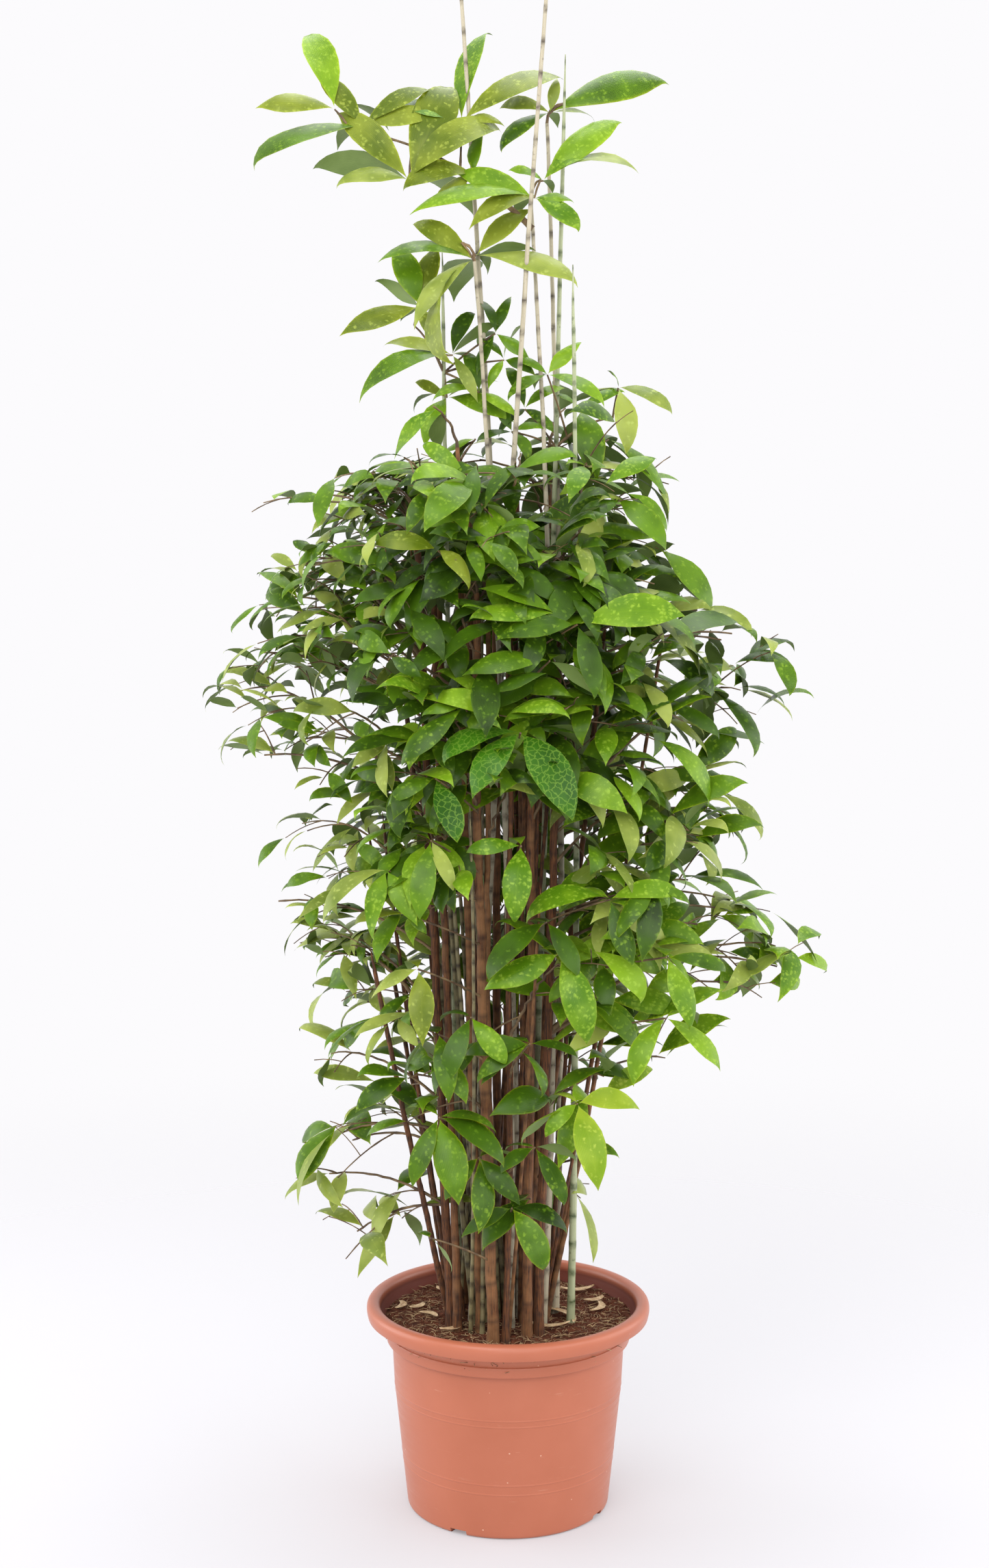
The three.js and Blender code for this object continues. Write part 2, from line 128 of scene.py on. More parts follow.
def add_node(tree, kind, inputs=None, stops=(), **settings):
    """Adds a node with its settings, colour stops and inputs; a kind with no prefix is a shader node."""
    node = tree.nodes.new(kind if "Node" in kind else "ShaderNode" + kind)
    for name, value in settings.items():
        setattr(node, name, value)
    for i, (position, colour) in enumerate(stops):
        node.color_ramp.elements[i].position = position
        node.color_ramp.elements[i].color = linear(colour)
    return feed(node, inputs or {})


def over(low, high, start, end):
    """The inputs of a map range node that goes from start to end while its value goes from low to high."""
    return {"From Min": low, "From Max": high, "To Min": start, "To Max": end}


def new_material(name):
    """An empty material, the function that adds its nodes and its surface shader."""
    material = bpy.data.materials.new(name)
    material.use_nodes = True
    tree = material.node_tree
    return material, partial(add_node, tree), tree.nodes["Principled BSDF"]


def new_mesh(name, points, faces, edges=()):
    mesh = bpy.data.meshes.new(name)
    mesh.from_pydata(points, edges, faces)
    return mesh


def add_piece(name, mesh, nodes=()):
    """Puts a finished mesh in the scene as a piece that rides on the plant's one body."""
    piece = add_object(name, mesh)
    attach(piece, "root")
    if nodes:
        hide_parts(*nodes)


def evaluated_mesh(name, maker):
    """The plain mesh that an object with modifiers makes; the object itself is removed."""
    evaluated = maker.evaluated_get(bpy.context.evaluated_depsgraph_get())
    mesh = bpy.data.meshes.new_from_object(evaluated)
    mesh.name = name
    bpy.data.objects.remove(maker)
    return mesh


def level_axes(azimuth):
    """The level directions along an azimuth and across it."""
    turn = math.radians(azimuth)
    return np.array([math.cos(turn), math.sin(turn), 0]), np.array([-math.sin(turn), math.cos(turn), 0])


def bent(start, knee, end, steps):
    """Points along a curve that leaves start towards knee and bends to end."""
    t = np.linspace(0, 1, steps)[:, None]
    return (1 - t) ** 2 * start + 2 * t * (1 - t) * knee + t**2 * end


def rounded(corners):
    """An outline of (radius, height, rounding) corners with each corner rounded off."""
    points = []
    for i, (radius, height, rounding) in enumerate(corners):
        here = np.array([radius, height])
        if rounding == 0:
            points.append(here)
            continue
        before = np.array(corners[i - 1][:2]) - here
        after = np.array(corners[i + 1][:2]) - here
        start = here + rounding * before / np.linalg.norm(before)
        end = here + rounding * after / np.linalg.norm(after)
        points.extend(bent(start, here, end, CORNER_STEPS + 1))
    return np.array(points)


def turned_mesh(name, outline, sides):
    """A closed body of revolution; the outline starts and ends on the axis."""
    rings = outline[1:-1]
    angles = np.linspace(0, 2 * math.pi, sides, endpoint=False)
    around = np.stack([np.cos(angles), np.sin(angles)], axis=1)
    heights = np.repeat(rings[:, None, 1:], sides, axis=1)
    body = np.concatenate([rings[:, None, :1] * around, heights], axis=2).reshape(-1, 3)
    poles = [[0, 0, outline[0][1]], [0, 0, outline[-1][1]]]
    first, last = len(body), len(body) + 1
    top = (len(rings) - 1) * sides
    faces = []
    for side in range(sides):
        beside = (side + 1) % sides
        faces.append((first, beside, side))
        faces.append((last, top + side, top + beside))
        for low in range(0, top, sides):
            high = low + sides
            faces.append((low + side, low + beside, high + beside, high + side))
    return new_mesh(name, (np.concatenate([body, poles]) * MM).tolist(), faces)


def wall_radius(height):
    return np.interp(height, [0, COLLAR_FOOT], [POT_FOOT_RADIUS, POT_TOP_RADIUS])


def inner_radius(height):
    """The radius of the pot's inside, which widens at the neck."""
    heights = [POT_FLOOR, COLLAR_FOOT, COLLAR_TOP + 1, LIP_MIDDLE]
    outside = [POT_FOOT_RADIUS, POT_TOP_RADIUS - CREASE, NECK_RADIUS, LIP_INSIDE + POT_WALL]
    return np.interp(height, heights, outside) - POT_WALL


def pot_outline():
    """The pot's section, from the middle of its underside up the wall, over the lip and down inside."""
    corners = [(0, 0, 0), (POT_FOOT_RADIUS, 0, 6)]
    for line in MOULDING_LINES:
        corners.append((wall_radius(line - MOULDING_WIDTH), line - MOULDING_WIDTH, 0.3))
        corners.append((wall_radius(line) + MOULDING_STEP, line, 0.5))
        corners.append((wall_radius(line + MOULDING_WIDTH), line + MOULDING_WIDTH, 0.3))
    lip_foot_radius = POT_RIM_RADIUS - LIP_DRAFT
    corners += [
        (POT_TOP_RADIUS - CREASE, COLLAR_FOOT - 1, 0.8),
        (POT_TOP_RADIUS - CREASE, COLLAR_FOOT + 1.5, 0.8),
        (POT_TOP_RADIUS + COLLAR_STEP, COLLAR_FOOT + 1.5, 1.6),
        (POT_TOP_RADIUS + COLLAR_STEP + COLLAR_DRAFT, COLLAR_TOP, 1.6),
        (NECK_RADIUS, COLLAR_TOP + 1, 0.8),
        (LIP_INSIDE + POT_WALL + 1, LIP_FOOT + LIP_HOLLOW, 3),
        (lip_foot_radius - POT_WALL, LIP_FOOT + LIP_HOLLOW, 3),
        (lip_foot_radius - POT_WALL, LIP_FOOT, 1),
        (lip_foot_radius, LIP_FOOT, 1),
        (POT_RIM_RADIUS, LIP_MIDDLE - 1, 4.4),
        (POT_RIM_RADIUS, POT_HEIGHT, 9.4),
        (LIP_INSIDE, POT_HEIGHT, 9.4),
        (LIP_INSIDE, LIP_MIDDLE, 3),
        (inner_radius(COLLAR_TOP + 1), COLLAR_TOP + 1, 3),
        (inner_radius(COLLAR_FOOT), COLLAR_FOOT, 3),
        (inner_radius(POT_FLOOR), POT_FLOOR, 3),
        (0, POT_FLOOR, 0),
    ]
    return rounded(corners)


def notch_boxes():
    """Four boxes at the foot of the wall, one for each drain notch."""
    depth, width, height = NOTCH_SIZE
    box = [(0, 1, 3, 2), (4, 6, 7, 5), (0, 4, 5, 1), (2, 3, 7, 6), (0, 2, 6, 4), (1, 5, 7, 3)]
    corners, faces = [], []
    for i in range(NOTCH_COUNT):
        outward, sideways = level_axes(NOTCH_FIRST_AZIMUTH + 360 / NOTCH_COUNT * i)
        faces += [tuple(8 * i + corner for corner in face) for face in box]
        for out, side, up in product((-depth, depth), (-width / 2, width / 2), (-height, height)):
            level = (POT_FOOT_RADIUS + out) * outward + side * sideways
            corners.append(MM * (level + np.array([0, 0, up])))
    return new_mesh("notch_boxes", corners, faces)


# Moulded polypropylene: an even terracotta with a soft satin shine, faint flow marks, scuffs and dust.
# The inside is painted darker and made duller, as painted shade for the pot's shaded inside and as soil
# stain. The mould's fine grain is drawn coarser, to show.
pot_material, node, shader = new_material("moulded_polypropylene")
place = node("TexCoord").outputs["Object"]
flow = node("TexNoise", {"Vector": place, "Scale": 1 / (70 * MM), "Detail": 3})
plain = node("Mix", {"Factor": flow, "A": "#a95e42", "B": "#b5694e"}, data_type="RGBA")
grit = node("TexVoronoi", {"Vector": place, "Scale": 1 / (26 * MM)})
speck = node("MapRange", {"Value": grit, **over(0.03, 0.055, 0.75, 0)})
stretched = node("Mapping", {"Vector": place, "Rotation": (0.5, 0.8, 0), "Scale": (1, 1, 9)})
rubs = node("TexNoise", {"Vector": stretched, "Scale": 1 / (60 * MM), "Detail": 6, "Roughness": 0.7})
scuff = node("MapRange", {"Value": rubs, **over(0.64, 0.74, 0, 0.3)})
marks = node("Math", {0: speck, 1: scuff}, operation="MAXIMUM")
dusty = node("Mix", {"Factor": marks, "A": plain, "B": "#d9b097"}, data_type="RGBA")
# The inside of the pot is painted a dark red-brown: painted shade for its shaded inside, and soil stain.
stain_and_shade = node("Attribute", attribute_name="stain_and_shade").outputs["Fac"]
stained_and_shaded = node("Mix", {"Factor": stain_and_shade, "A": dusty, "B": "#6a2812"}, data_type="RGBA")
shine = node("MapRange", {"Value": rubs, **over(0.3, 0.75, 0.3, 0.44)})
dulled = node("Math", {0: stain_and_shade, 1: 0.35, 2: shine}, operation="MULTIPLY_ADD")
grain = node("TexNoise", {"Vector": place, "Scale": 1 / (1.6 * MM), "Detail": 2})
relief = node("Bump", {"Height": grain, "Strength": 0.08, "Distance": 0.4 * MM})
feed(shader, {"Base Color": stained_and_shaded, "Roughness": dulled, "Normal": relief})

pot_maker = add_object("pot_maker", turned_mesh("pot_body", pot_outline(), POT_SIDES))
cutters = add_object("notch_cutters", notch_boxes())
cut = pot_maker.modifiers.new("drain_notches", "BOOLEAN")
cut.operation = "DIFFERENCE"
cut.solver = "EXACT"
cut.object = cutters
pot_mesh = evaluated_mesh("pot_shell", pot_maker)
bpy.data.objects.remove(cutters)
pot_mesh.materials.clear()
pot_mesh.materials.append(pot_material)
pot_mesh.shade_smooth()
pot_mesh.set_sharp_from_angle(angle=math.radians(SHARP_ANGLE))
# Marks the inside of the pot, up to the lip, for the painted shade and soil stain.
stain_and_shade_values = pot_mesh.attributes.new("stain_and_shade", "FLOAT", "POINT").data
for vertex in pot_mesh.vertices:
    radius, height = math.hypot(vertex.co.x, vertex.co.y) / MM, vertex.co.z / MM
    if radius < inner_radius(height) + STAIN_AND_SHADE_MARGIN:
        stain_and_shade_values[vertex.index].value = np.interp(height, [LIP_MIDDLE, LIP_MIDDLE + STAIN_AND_SHADE_FADE], [1, 0])
add_piece("pot_shell", pot_mesh, ["pot"])

# Soil
# Peat and coir fibre, filled to a thumb's width below the rim and pressed up a little along the wall.
# Crumbs and straw-coloured fibres lie loose on top, with the dry sheaths that the canes have shed.
SOIL_LEVEL = 257
SOIL_HEAP = 8
SOIL_EDGE_RISE = 3
SOIL_EDGE_FROM = 0.6
SOIL_DEPTH = 60
SOIL_PLAY, SOIL_EDGE_PLAY = 0.5, 0.4
SOIL_RINGS = 46
SOIL_SIDES = 132
SOIL_LUMP = 3.2
# Broad and fine lumps: their width, their share of the height, and the falloff and layers of the noise.
LUMPS = [(42, 0.8, 1.0, 2), (9, 0.55, 0.8, 3)]
LAYER_FINENESS = 2.0
CRUMB_SIZE = 2.6
CRUMBS_PER_SQUARE_METRE = 26000
FIBRE_LENGTH = 19
FIBRE_THICKNESS = 0.5
FIBRES_PER_SQUARE_METRE = 15000
# Where each dry sheath lies, which way, and how long it is.
SHEATHS = [
    (-74, -58, 36, 38),
    (55, -50, 352, 60),
    (84, 4, 128, 72),
    (104, 106, 6, 50),
    (-150, 40, 82, 30),
    (-98, 110, 310, 26),
    (-126, 34, 42, 26),
    (128, 62, 28, 32),
    (134, 30, 72, 40),
    (-110, 4, 150, 30),
    (-60, 112, 40, 40),
    (30, 132, 120, 44),
]
SHEATH_ROWS, SHEATH_COLUMNS = 9, 5
SHEATH_WIDTH = 6
SHEATH_LEAST_WIDTH = 0.25
SHEATH_TAPER = (0.12, 0.8)
SHEATH_CURL = 62
SHEATH_REST = 5
SHEATH_ARCH = 7 / 40
SHEATH_LOW_POINT = 0.4
SHEATH_CURL_LIFT = 0.7
SHEATH_BOW = 0.24
SHEATH_THICKNESS = 0.5
# Crumbs and fibres lie at any turn, in radians.
FULL_TURN = 6.28


def soil_mesh():
    top = SOIL_LEVEL + SOIL_HEAP
    foot = SOIL_LEVEL - SOIL_DEPTH
    edge = inner_radius(top + SOIL_EDGE_RISE) - SOIL_EDGE_PLAY
    radii = np.linspace(edge, 0, SOIL_RINGS)
    heights = top + SOIL_EDGE_RISE * np.clip((radii / edge - SOIL_EDGE_FROM) / (1 - SOIL_EDGE_FROM), 0, 1)
    sides = [(0, foot)] + [(inner_radius(height) - SOIL_PLAY, height) for height in (foot, COLLAR_FOOT)]
    mesh = turned_mesh("soil_bed", np.array(sides + list(zip(radii, heights))), SOIL_SIDES)
    for vertex in mesh.vertices:
        if vertex.co.z > MM * (SOIL_LEVEL - 1):
            lumps = [
                share * noise.fractal(vertex.co / (width * MM), falloff, LAYER_FINENESS, layers)
                for width, share, falloff, layers in LUMPS
            ]
            vertex.co.z += MM * SOIL_LUMP * sum(lumps)
    mesh.shade_smooth()
    return mesh


def new_geometry_tree(name, **inputs):
    """A geometry node tree with inputs listed by type, the function that adds its nodes, and the inputs."""
    tree = bpy.data.node_groups.new(name, "GeometryNodeTree")
    tree.interface.new_socket(name="Geometry", in_out="OUTPUT", socket_type="NodeSocketGeometry")
    for kind, labels in inputs.items():
        for label in labels:
            tree.interface.new_socket(name=label, in_out="INPUT", socket_type="NodeSocket" + kind)
    node = partial(add_node, tree)
    return tree, node, node("NodeGroupInput").outputs


def end_tree(node, given, shape):
    """Ends a geometry node tree: its instances made real, with the material on them."""
    whole = node("GeometryNodeRealizeInstances", {"Geometry": shape})
    surfaced = node("GeometryNodeSetMaterial", {"Geometry": whole, "Material": given["Material"]})
    node("NodeGroupOutput", {0: surfaced})


def grown_mesh(name, start, tree, values):
    """The plain mesh that a geometry node tree makes of another, with its named inputs set."""
    maker = add_object(name, start)
    modifier = maker.modifiers.new("maker", "NODES")
    modifier.node_group = tree
    for item in tree.interface.items_tree:
        if item.in_out == "INPUT" and item.name in values:
            modifier[item.identifier] = values[item.name]
    return evaluated_mesh(name, maker)


def strewn(node, given, thing, turns, sizes):
    """A thing strewn over the upward faces of a bed, turned and scaled at random."""
    upward = node("SeparateXYZ", {"Vector": node("GeometryNodeInputNormal")}).outputs["Z"]
    top = node("FunctionNodeCompare", {"A": upward, "B": 0.5}, operation="GREATER_THAN")
    spread = {"Mesh": given["Bed"], "Selection": top, "Density": given["Density"], "Seed": given["Seed"]}
    points = node("GeometryNodeDistributePointsOnFaces", spread)
    low, high = turns
    turn = node("FunctionNodeRandomValue", {"Min": low, "Max": high}, data_type="FLOAT_VECTOR")
    laid = {"Points": points, "Instance": thing, "Rotation": turn, "Scale": sizes}
    return node("GeometryNodeInstanceOnPoints", laid)


def crumb_tree():
    inputs = {"Geometry": ["Bed"], "Float": ["Density", "Size"], "Int": ["Seed"], "Material": ["Material"]}
    tree, node, given = new_geometry_tree("strewn_crumbs", **inputs)
    lump = node("GeometryNodeMeshIcoSphere", {"Radius": given["Size"], "Subdivisions": 1})
    shares = {"Min": (0.25, 0.25, 0.2), "Max": (1.1, 0.9, 0.7)}
    size = node("FunctionNodeRandomValue", shares, data_type="FLOAT_VECTOR")
    end_tree(node, given, strewn(node, given, lump, [(0, 0, 0), (FULL_TURN,) * 3], size))
    return tree


def fibre_tree():
    sizes = ["Density", "Length", "Thickness"]
    inputs = {"Geometry": ["Bed"], "Float": sizes, "Int": ["Seed"], "Material": ["Material"]}
    tree, node, given = new_geometry_tree("strewn_fibres", **inputs)
    curve = {"Resolution": 4, "Start": (-0.5, 0, 0), "Middle": (0.1, 0.35, 0.12), "End": (0.5, 0, 0.04)}
    thread = node("GeometryNodeCurveQuadraticBezier", curve)
    share = node("FunctionNodeRandomValue", {2: 0.35, 3: 1.3, "Seed": 5}, data_type="FLOAT")
    length = node("Math", {0: share, 1: given["Length"]}, operation="MULTIPLY")
    threads = strewn(node, given, thread, [(-0.3, -0.35, 0), (0.3, 0.35, FULL_TURN)], length)
    whole = node("GeometryNodeRealizeInstances", {"Geometry": threads})
    profile = node("GeometryNodeCurvePrimitiveCircle", {"Resolution": 3, "Radius": given["Thickness"]})
    swept = {"Curve": whole, "Profile Curve": profile.outputs["Curve"], "Fill Caps": True}
    end_tree(node, given, node("GeometryNodeCurveToMesh", swept))
    return tree


def sheath_mesh():
    """Dry sheaths: short curled strips, wide in the middle, that rest on the soil."""
    points, faces = [], []
    for x, y, azimuth, length in SHEATHS:
        along, aside = level_axes(azimuth)
        start = len(points)
        for row, column in product(range(SHEATH_ROWS), range(SHEATH_COLUMNS)):
            share = row / (SHEATH_ROWS - 1)
            swell = math.sin(math.pi * (SHEATH_TAPER[0] + SHEATH_TAPER[1] * share))
            half = SHEATH_WIDTH * (SHEATH_LEAST_WIDTH + (1 - SHEATH_LEAST_WIDTH) * swell)
            curl = math.radians(SHEATH_CURL * (2 * column / (SHEATH_COLUMNS - 1) - 1))
            rise = SHEATH_REST + SHEATH_ARCH * (share - SHEATH_LOW_POINT) ** 2 * length
            lift = SOIL_LEVEL + SOIL_HEAP + rise + half * (1 - math.cos(curl)) * SHEATH_CURL_LIFT
            flat = along * (share - 0.5) * length + aside * half * math.sin(curl)
            bow = aside * SHEATH_BOW * length * (2 * share - 1) ** 2
            points.append(MM * (np.array([x, y, lift]) + flat + bow))
        for row, column in product(range(SHEATH_ROWS - 1), range(SHEATH_COLUMNS - 1)):
            corner = start + row * SHEATH_COLUMNS + column
            beyond = corner + SHEATH_COLUMNS
            faces.append((corner, beyond, beyond + 1, corner + 1))
    mesh = new_mesh("dry_sheaths", points, faces)
    mesh.shade_smooth()
    maker = add_object("dry_sheaths", mesh)
    maker.modifiers.new("thickness", "SOLIDIFY").thickness = MM * SHEATH_THICKNESS
    return evaluated_mesh("dry_sheaths", maker)


# Peat with coir: a dull red-brown that varies from crumb to crumb, with a rough broken surface.
soil_material, node, shader = new_material("peat_and_coir")
place = node("TexCoord").outputs["Object"]
clods = node("TexNoise", {"Vector": place, "Scale": 1 / (14 * MM), "Detail": 5, "Roughness": 0.7})
specks = node("TexVoronoi", {"Vector": place, "Scale": 1 / (4 * MM)})
earth = node("ValToRGB", {"Fac": clods}, stops=[(0.3, "#361a13"), (0.72, "#7a4730")])
bumps = node("Math", {0: clods, 1: specks}, operation="ADD")
relief = node("Bump", {"Height": bumps, "Strength": 0.7, "Distance": 2.5 * MM})
feed(shader, {"Base Color": earth, "Roughness": 0.95, "Specular IOR Level": 0.2, "Normal": relief})


def litter_material(name, patch, detail, stops, roughness):
    """Dry litter whose colour runs between two tones in patches of a size."""
    material, node, shader = new_material(name)
    place = node("TexCoord").outputs["Object"]
    patches = node("TexNoise", {"Vector": place, "Scale": 1 / (patch * MM), "Detail": detail})
    feed(shader, {"Base Color": node("ValToRGB", {"Fac": patches}, stops=stops), "Roughness": roughness})
    return material


# Coir fibre: dry straw-brown threads, paler and darker by turns.
fibre_tones = [(0.35, "#75503a"), (0.7, "#cdae82")]
fibre_material = litter_material("coir_fibre", patch=11, detail=1, stops=fibre_tones, roughness=0.85)
# Dry sheath: papery tan leaf bases with darker patches and a slight sheen.
sheath_tones = [(0.3, "#a9825a"), (0.65, "#e0c59c")]
sheath_material = litter_material("dry_sheath", patch=5, detail=3, stops=sheath_tones, roughness=0.6)

bed_mesh = soil_mesh()
crumb_sizes = {"Density": CRUMBS_PER_SQUARE_METRE, "Size": MM * CRUMB_SIZE, "Seed": 3}
crumb_mesh = grown_mesh(
    "soil_crumbs", bed_mesh.copy(), crumb_tree(), {**crumb_sizes, "Material": soil_material}
)
fibre_sizes = {"Length": MM * FIBRE_LENGTH, "Thickness": MM * FIBRE_THICKNESS}
fibre_sizes = {**fibre_sizes, "Density": FIBRES_PER_SQUARE_METRE, "Seed": 8, "Material": fibre_material}
fibre_mesh = grown_mesh("coir_fibres", bed_mesh.copy(), fibre_tree(), fibre_sizes)
bed_mesh.materials.append(soil_material)
shed_mesh = sheath_mesh()
shed_mesh.materials.append(sheath_material)
add_piece("soil_bed", bed_mesh, ["soil"])
add_piece("soil_crumbs", crumb_mesh)
add_piece("coir_fibres", fibre_mesh)
add_piece("dry_sheaths", shed_mesh)

# Woody canes
# The oldest stems: brown, fibrous bark with low rings where leaves once sat, two from each root.
# They stand on a sunflower spiral, lean outward as they rise and end inside the crown.
STOOL_COUNT = 16
GOLDEN_TURN = 137.508
CLUMP_RADIUS = 98
CANE_STEPS = 90
CANE_SUNK = 9
CANE_END = 0.94
FLARE_SHARE = 0.02
WOODY_STOOLS = [1, 6, 7, 10, 11, 12, 14, 15]
WOODY_SPACING = 18
WOODY_RADIUS = 6.9
WOODY_GIRTHS = (0.62, 1.12)
WOODY_FLARE = 3.2
WOODY_HEIGHTS = (1220, 1500)
WOODY_FAN = 0.42
WOODY_STRAY = 10
WOODY_SPREAD = 1.7
WOODY_BOW = 8
WOODY_SLIMMING = 0.34
WOODY_TIP_SHARE = 0.5
WOODY_WOBBLE = 4
RING_SHIFT = 0.4
Limb = namedtuple("Limb", "points radii")


def random_stream(seed):
    """A repeatable stream of numbers from 0 to 1."""
    whole = 0xFFFFFFFF
    state = seed & whole

    def draw():
        nonlocal state
        state = (state + 0x6D2B79F5) & whole
        t = ((state ^ (state >> 15)) * (state | 1)) & whole
        t ^= (t + ((t ^ (t >> 7)) * (t | 61))) & whole
        return ((t ^ (t >> 14)) & whole) / (whole + 1)

    return draw


def between(span, share):
    """The value at a share of the way through a span."""
    return span[0] + (span[1] - span[0]) * share


def heading(azimuth, pitch=0):
    """A level direction at an azimuth, lifted by a pitch."""
    a, p = math.radians(azimuth), math.radians(pitch)
    return np.array([math.cos(a) * math.cos(p), math.sin(a) * math.cos(p), math.sin(p)])


def upright(height):
    return np.array([0, 0, height])


def stool_foot(stool):
    radius = CLUMP_RADIUS * math.sqrt((stool + 0.5) / STOOL_COUNT)
    return radius * heading(stool * GOLDEN_TURN) + upright(SOIL_LEVEL)


def cane_limb(foot, tip, bow, radius, tip_radius, flare, slimming):
    """One cane: the points of its axis and its radius at each."""
    shares = np.linspace(0, 1, CANE_STEPS)
    points = bent(foot, (foot + tip) / 2 + 2 * np.array([*bow, 0]), tip, CANE_STEPS)
    radii = radius * (1 - slimming * shares) + flare * np.exp(-shares / FLARE_SHARE)
    end = shares > CANE_END
    radii[end] = np.interp(shares[end], [CANE_END, 1], [radii[end][0], tip_radius])
    points[0, 2] -= CANE_SUNK
    return Limb(points, radii)


def woody_pair(stool):
    """Two woody canes from one root, which part as they rise."""
    draw = random_stream(seed=100 + stool)
    foot = stool_foot(stool)
    reach = np.linalg.norm(foot[:2])
    outward = np.array([foot[0], foot[1], 0]) / reach
    sideways = np.array([-outward[1], outward[0], 0])
    limbs = []
    for side in (-0.5 * WOODY_SPACING, 0.5 * WOODY_SPACING):
        base = foot + side * sideways
        height = between(WOODY_HEIGHTS, draw())
        radius = WOODY_RADIUS * between(WOODY_GIRTHS, draw())
        lean = (WOODY_FAN * reach + WOODY_STRAY * draw()) * outward + side * WOODY_SPREAD * sideways
        bow = (WOODY_BOW * (draw() - 0.5), WOODY_BOW * (draw() - 0.5))
        tip = np.array([base[0], base[1], height]) + lean
        tip_radius = WOODY_TIP_SHARE * radius
        limbs.append(cane_limb(base, tip, bow, radius, tip_radius, WOODY_FLARE, WOODY_SLIMMING))
    return limbs


def skeleton_mesh(name, limbs, wobble, seed):
    """The axes of limbs as chains of edges, with each point's radius, its distance from the limb's foot
    and a tint that is the same all along the limb."""
    shake = np.random.default_rng(seed)
    points, edges, radii, along, tints = [], [], [], [], []
    for axis, thickness in limbs:
        start, steps = len(points), len(axis)
        drift = np.cumsum(shake.normal(0, 1, (steps, 2)), axis=0)
        drift = wobble * (drift - np.linspace(drift[0], drift[-1], steps)) / math.sqrt(steps)
        swayed = axis.copy()
        swayed[:, :2] += drift
        lengths = np.linalg.norm(np.diff(swayed, axis=0), axis=1)
        points.extend(swayed * MM)
        edges.extend((start + i, start + i + 1) for i in range(steps - 1))
        radii.extend(thickness * MM)
        along.extend(np.concatenate([[0], np.cumsum(lengths)]) * MM + RING_SHIFT * shake.random())
        tints.extend([shake.random()] * steps)
    mesh = new_mesh(name, points, [], edges)
    for label, values in {"radius": radii, "along": along, "tint": tints}.items():
        values = np.array(values, dtype=np.float32)
        mesh.attributes.new(label, "FLOAT", "POINT").data.foreach_set("value", values)
    return mesh


def limb_tree():
    """A tube round each chain of edges, swollen at its rings, with ridges of bark along it."""
    rings = ["Ring spacing", "Ring width", "Ring swell"]
    ridges = ["Ridge width", "Ridge length", "Ridge height"]
    inputs = {"Int": ["Sides"], "Float": ["Step", *rings, *ridges], "Material": ["Material"]}
    tree, node, given = new_geometry_tree("ringed_limb", Geometry=["Skeleton"], **inputs)
    chain = node("GeometryNodeMeshToCurve", {"Mesh": given["Skeleton"]})
    path = node("GeometryNodeResampleCurve", {"Curve": chain, "Length": given["Step"]}, mode="LENGTH")
    along = node("GeometryNodeInputNamedAttribute", {"Name": "along"}, data_type="FLOAT")
    radius = node("GeometryNodeInputNamedAttribute", {"Name": "radius"}, data_type="FLOAT")
    half = node("Math", {0: given["Ring spacing"], 1: 0.5}, operation="MULTIPLY")
    away = node("Math", {0: along, 1: half}, operation="PINGPONG")
    width = over(0, given["Ring width"], 1, 0)
    ring = node("MapRange", {"Value": away, **width}, interpolation_type="SMOOTHSTEP")
    mark = {"Geometry": path, "Name": "ring", "Value": ring}
    marked = node("GeometryNodeStoreNamedAttribute", mark, data_type="FLOAT", domain="POINT")
    swell = node("Math", {0: ring, 1: given["Ring swell"], 2: 1}, operation="MULTIPLY_ADD")
    girth = node("Math", {0: radius, 1: swell}, operation="MULTIPLY")
    profile = node("GeometryNodeCurvePrimitiveCircle", {"Resolution": given["Sides"], "Radius": 1})
    swept = {"Profile Curve": profile.outputs["Curve"], "Scale": girth, "Fill Caps": True}
    tube = node("GeometryNodeCurveToMesh", {"Curve": marked, **swept})
    sizes = {axis: given[f"Ridge {side}"] for axis, side in zip("XYZ", ("width", "width", "length"))}
    cells = node("CombineXYZ", sizes)
    place = node("VectorMath", {0: node("GeometryNodeInputPosition"), 1: cells}, operation="DIVIDE")
    bark = node("TexNoise", {"Vector": place, "Scale": 1, "Detail": 2})
    ridge = node("Math", {0: bark, 1: 0.5}, operation="SUBTRACT")
    height = node("Math", {0: ridge, 1: given["Ridge height"]}, operation="MULTIPLY")
    offset = node("VectorMath", {0: node("GeometryNodeInputNormal"), "Scale": height}, operation="SCALE")
    barked = node("GeometryNodeSetPosition", {"Geometry": tube, "Offset": offset})
    end_tree(node, given, node("GeometryNodeSetShadeSmooth", {"Geometry": barked, "Shade Smooth": True}))
    return tree


def limb_mesh(name, limbs, wobble, seed, values):
    return grown_mesh(name, skeleton_mesh(name, limbs, wobble, seed), LIMB_TREE, values)


# Old bark: dark brown and fibrous, with paler worn patches, and a dark line at each ring.
bark_material, node, shader = new_material("fibrous_bark")
place = node("TexCoord").outputs["Object"]
lengthways = (1 / (1.8 * MM), 1 / (1.8 * MM), 1 / (30 * MM))
grain_place = node("Mapping", {"Vector": place, "Scale": lengthways})
fibres = node("TexNoise", {"Vector": grain_place, "Scale": 1, "Detail": 4, "Roughness": 0.65})
worn = node("TexNoise", {"Vector": place, "Scale": 1 / (24 * MM), "Detail": 4})
tint = node("Attribute", attribute_name="tint").outputs["Fac"]
ring = node("Attribute", attribute_name="ring").outputs["Fac"]
brown = node("ValToRGB", {"Fac": fibres}, stops=[(0.36, "#2b160a"), (0.66, "#784824")])
patch = node("Math", {0: worn, 1: tint}, operation="MULTIPLY")
bare = node("MapRange", {"Value": patch, **over(0.24, 0.5, 0, 0.6)})
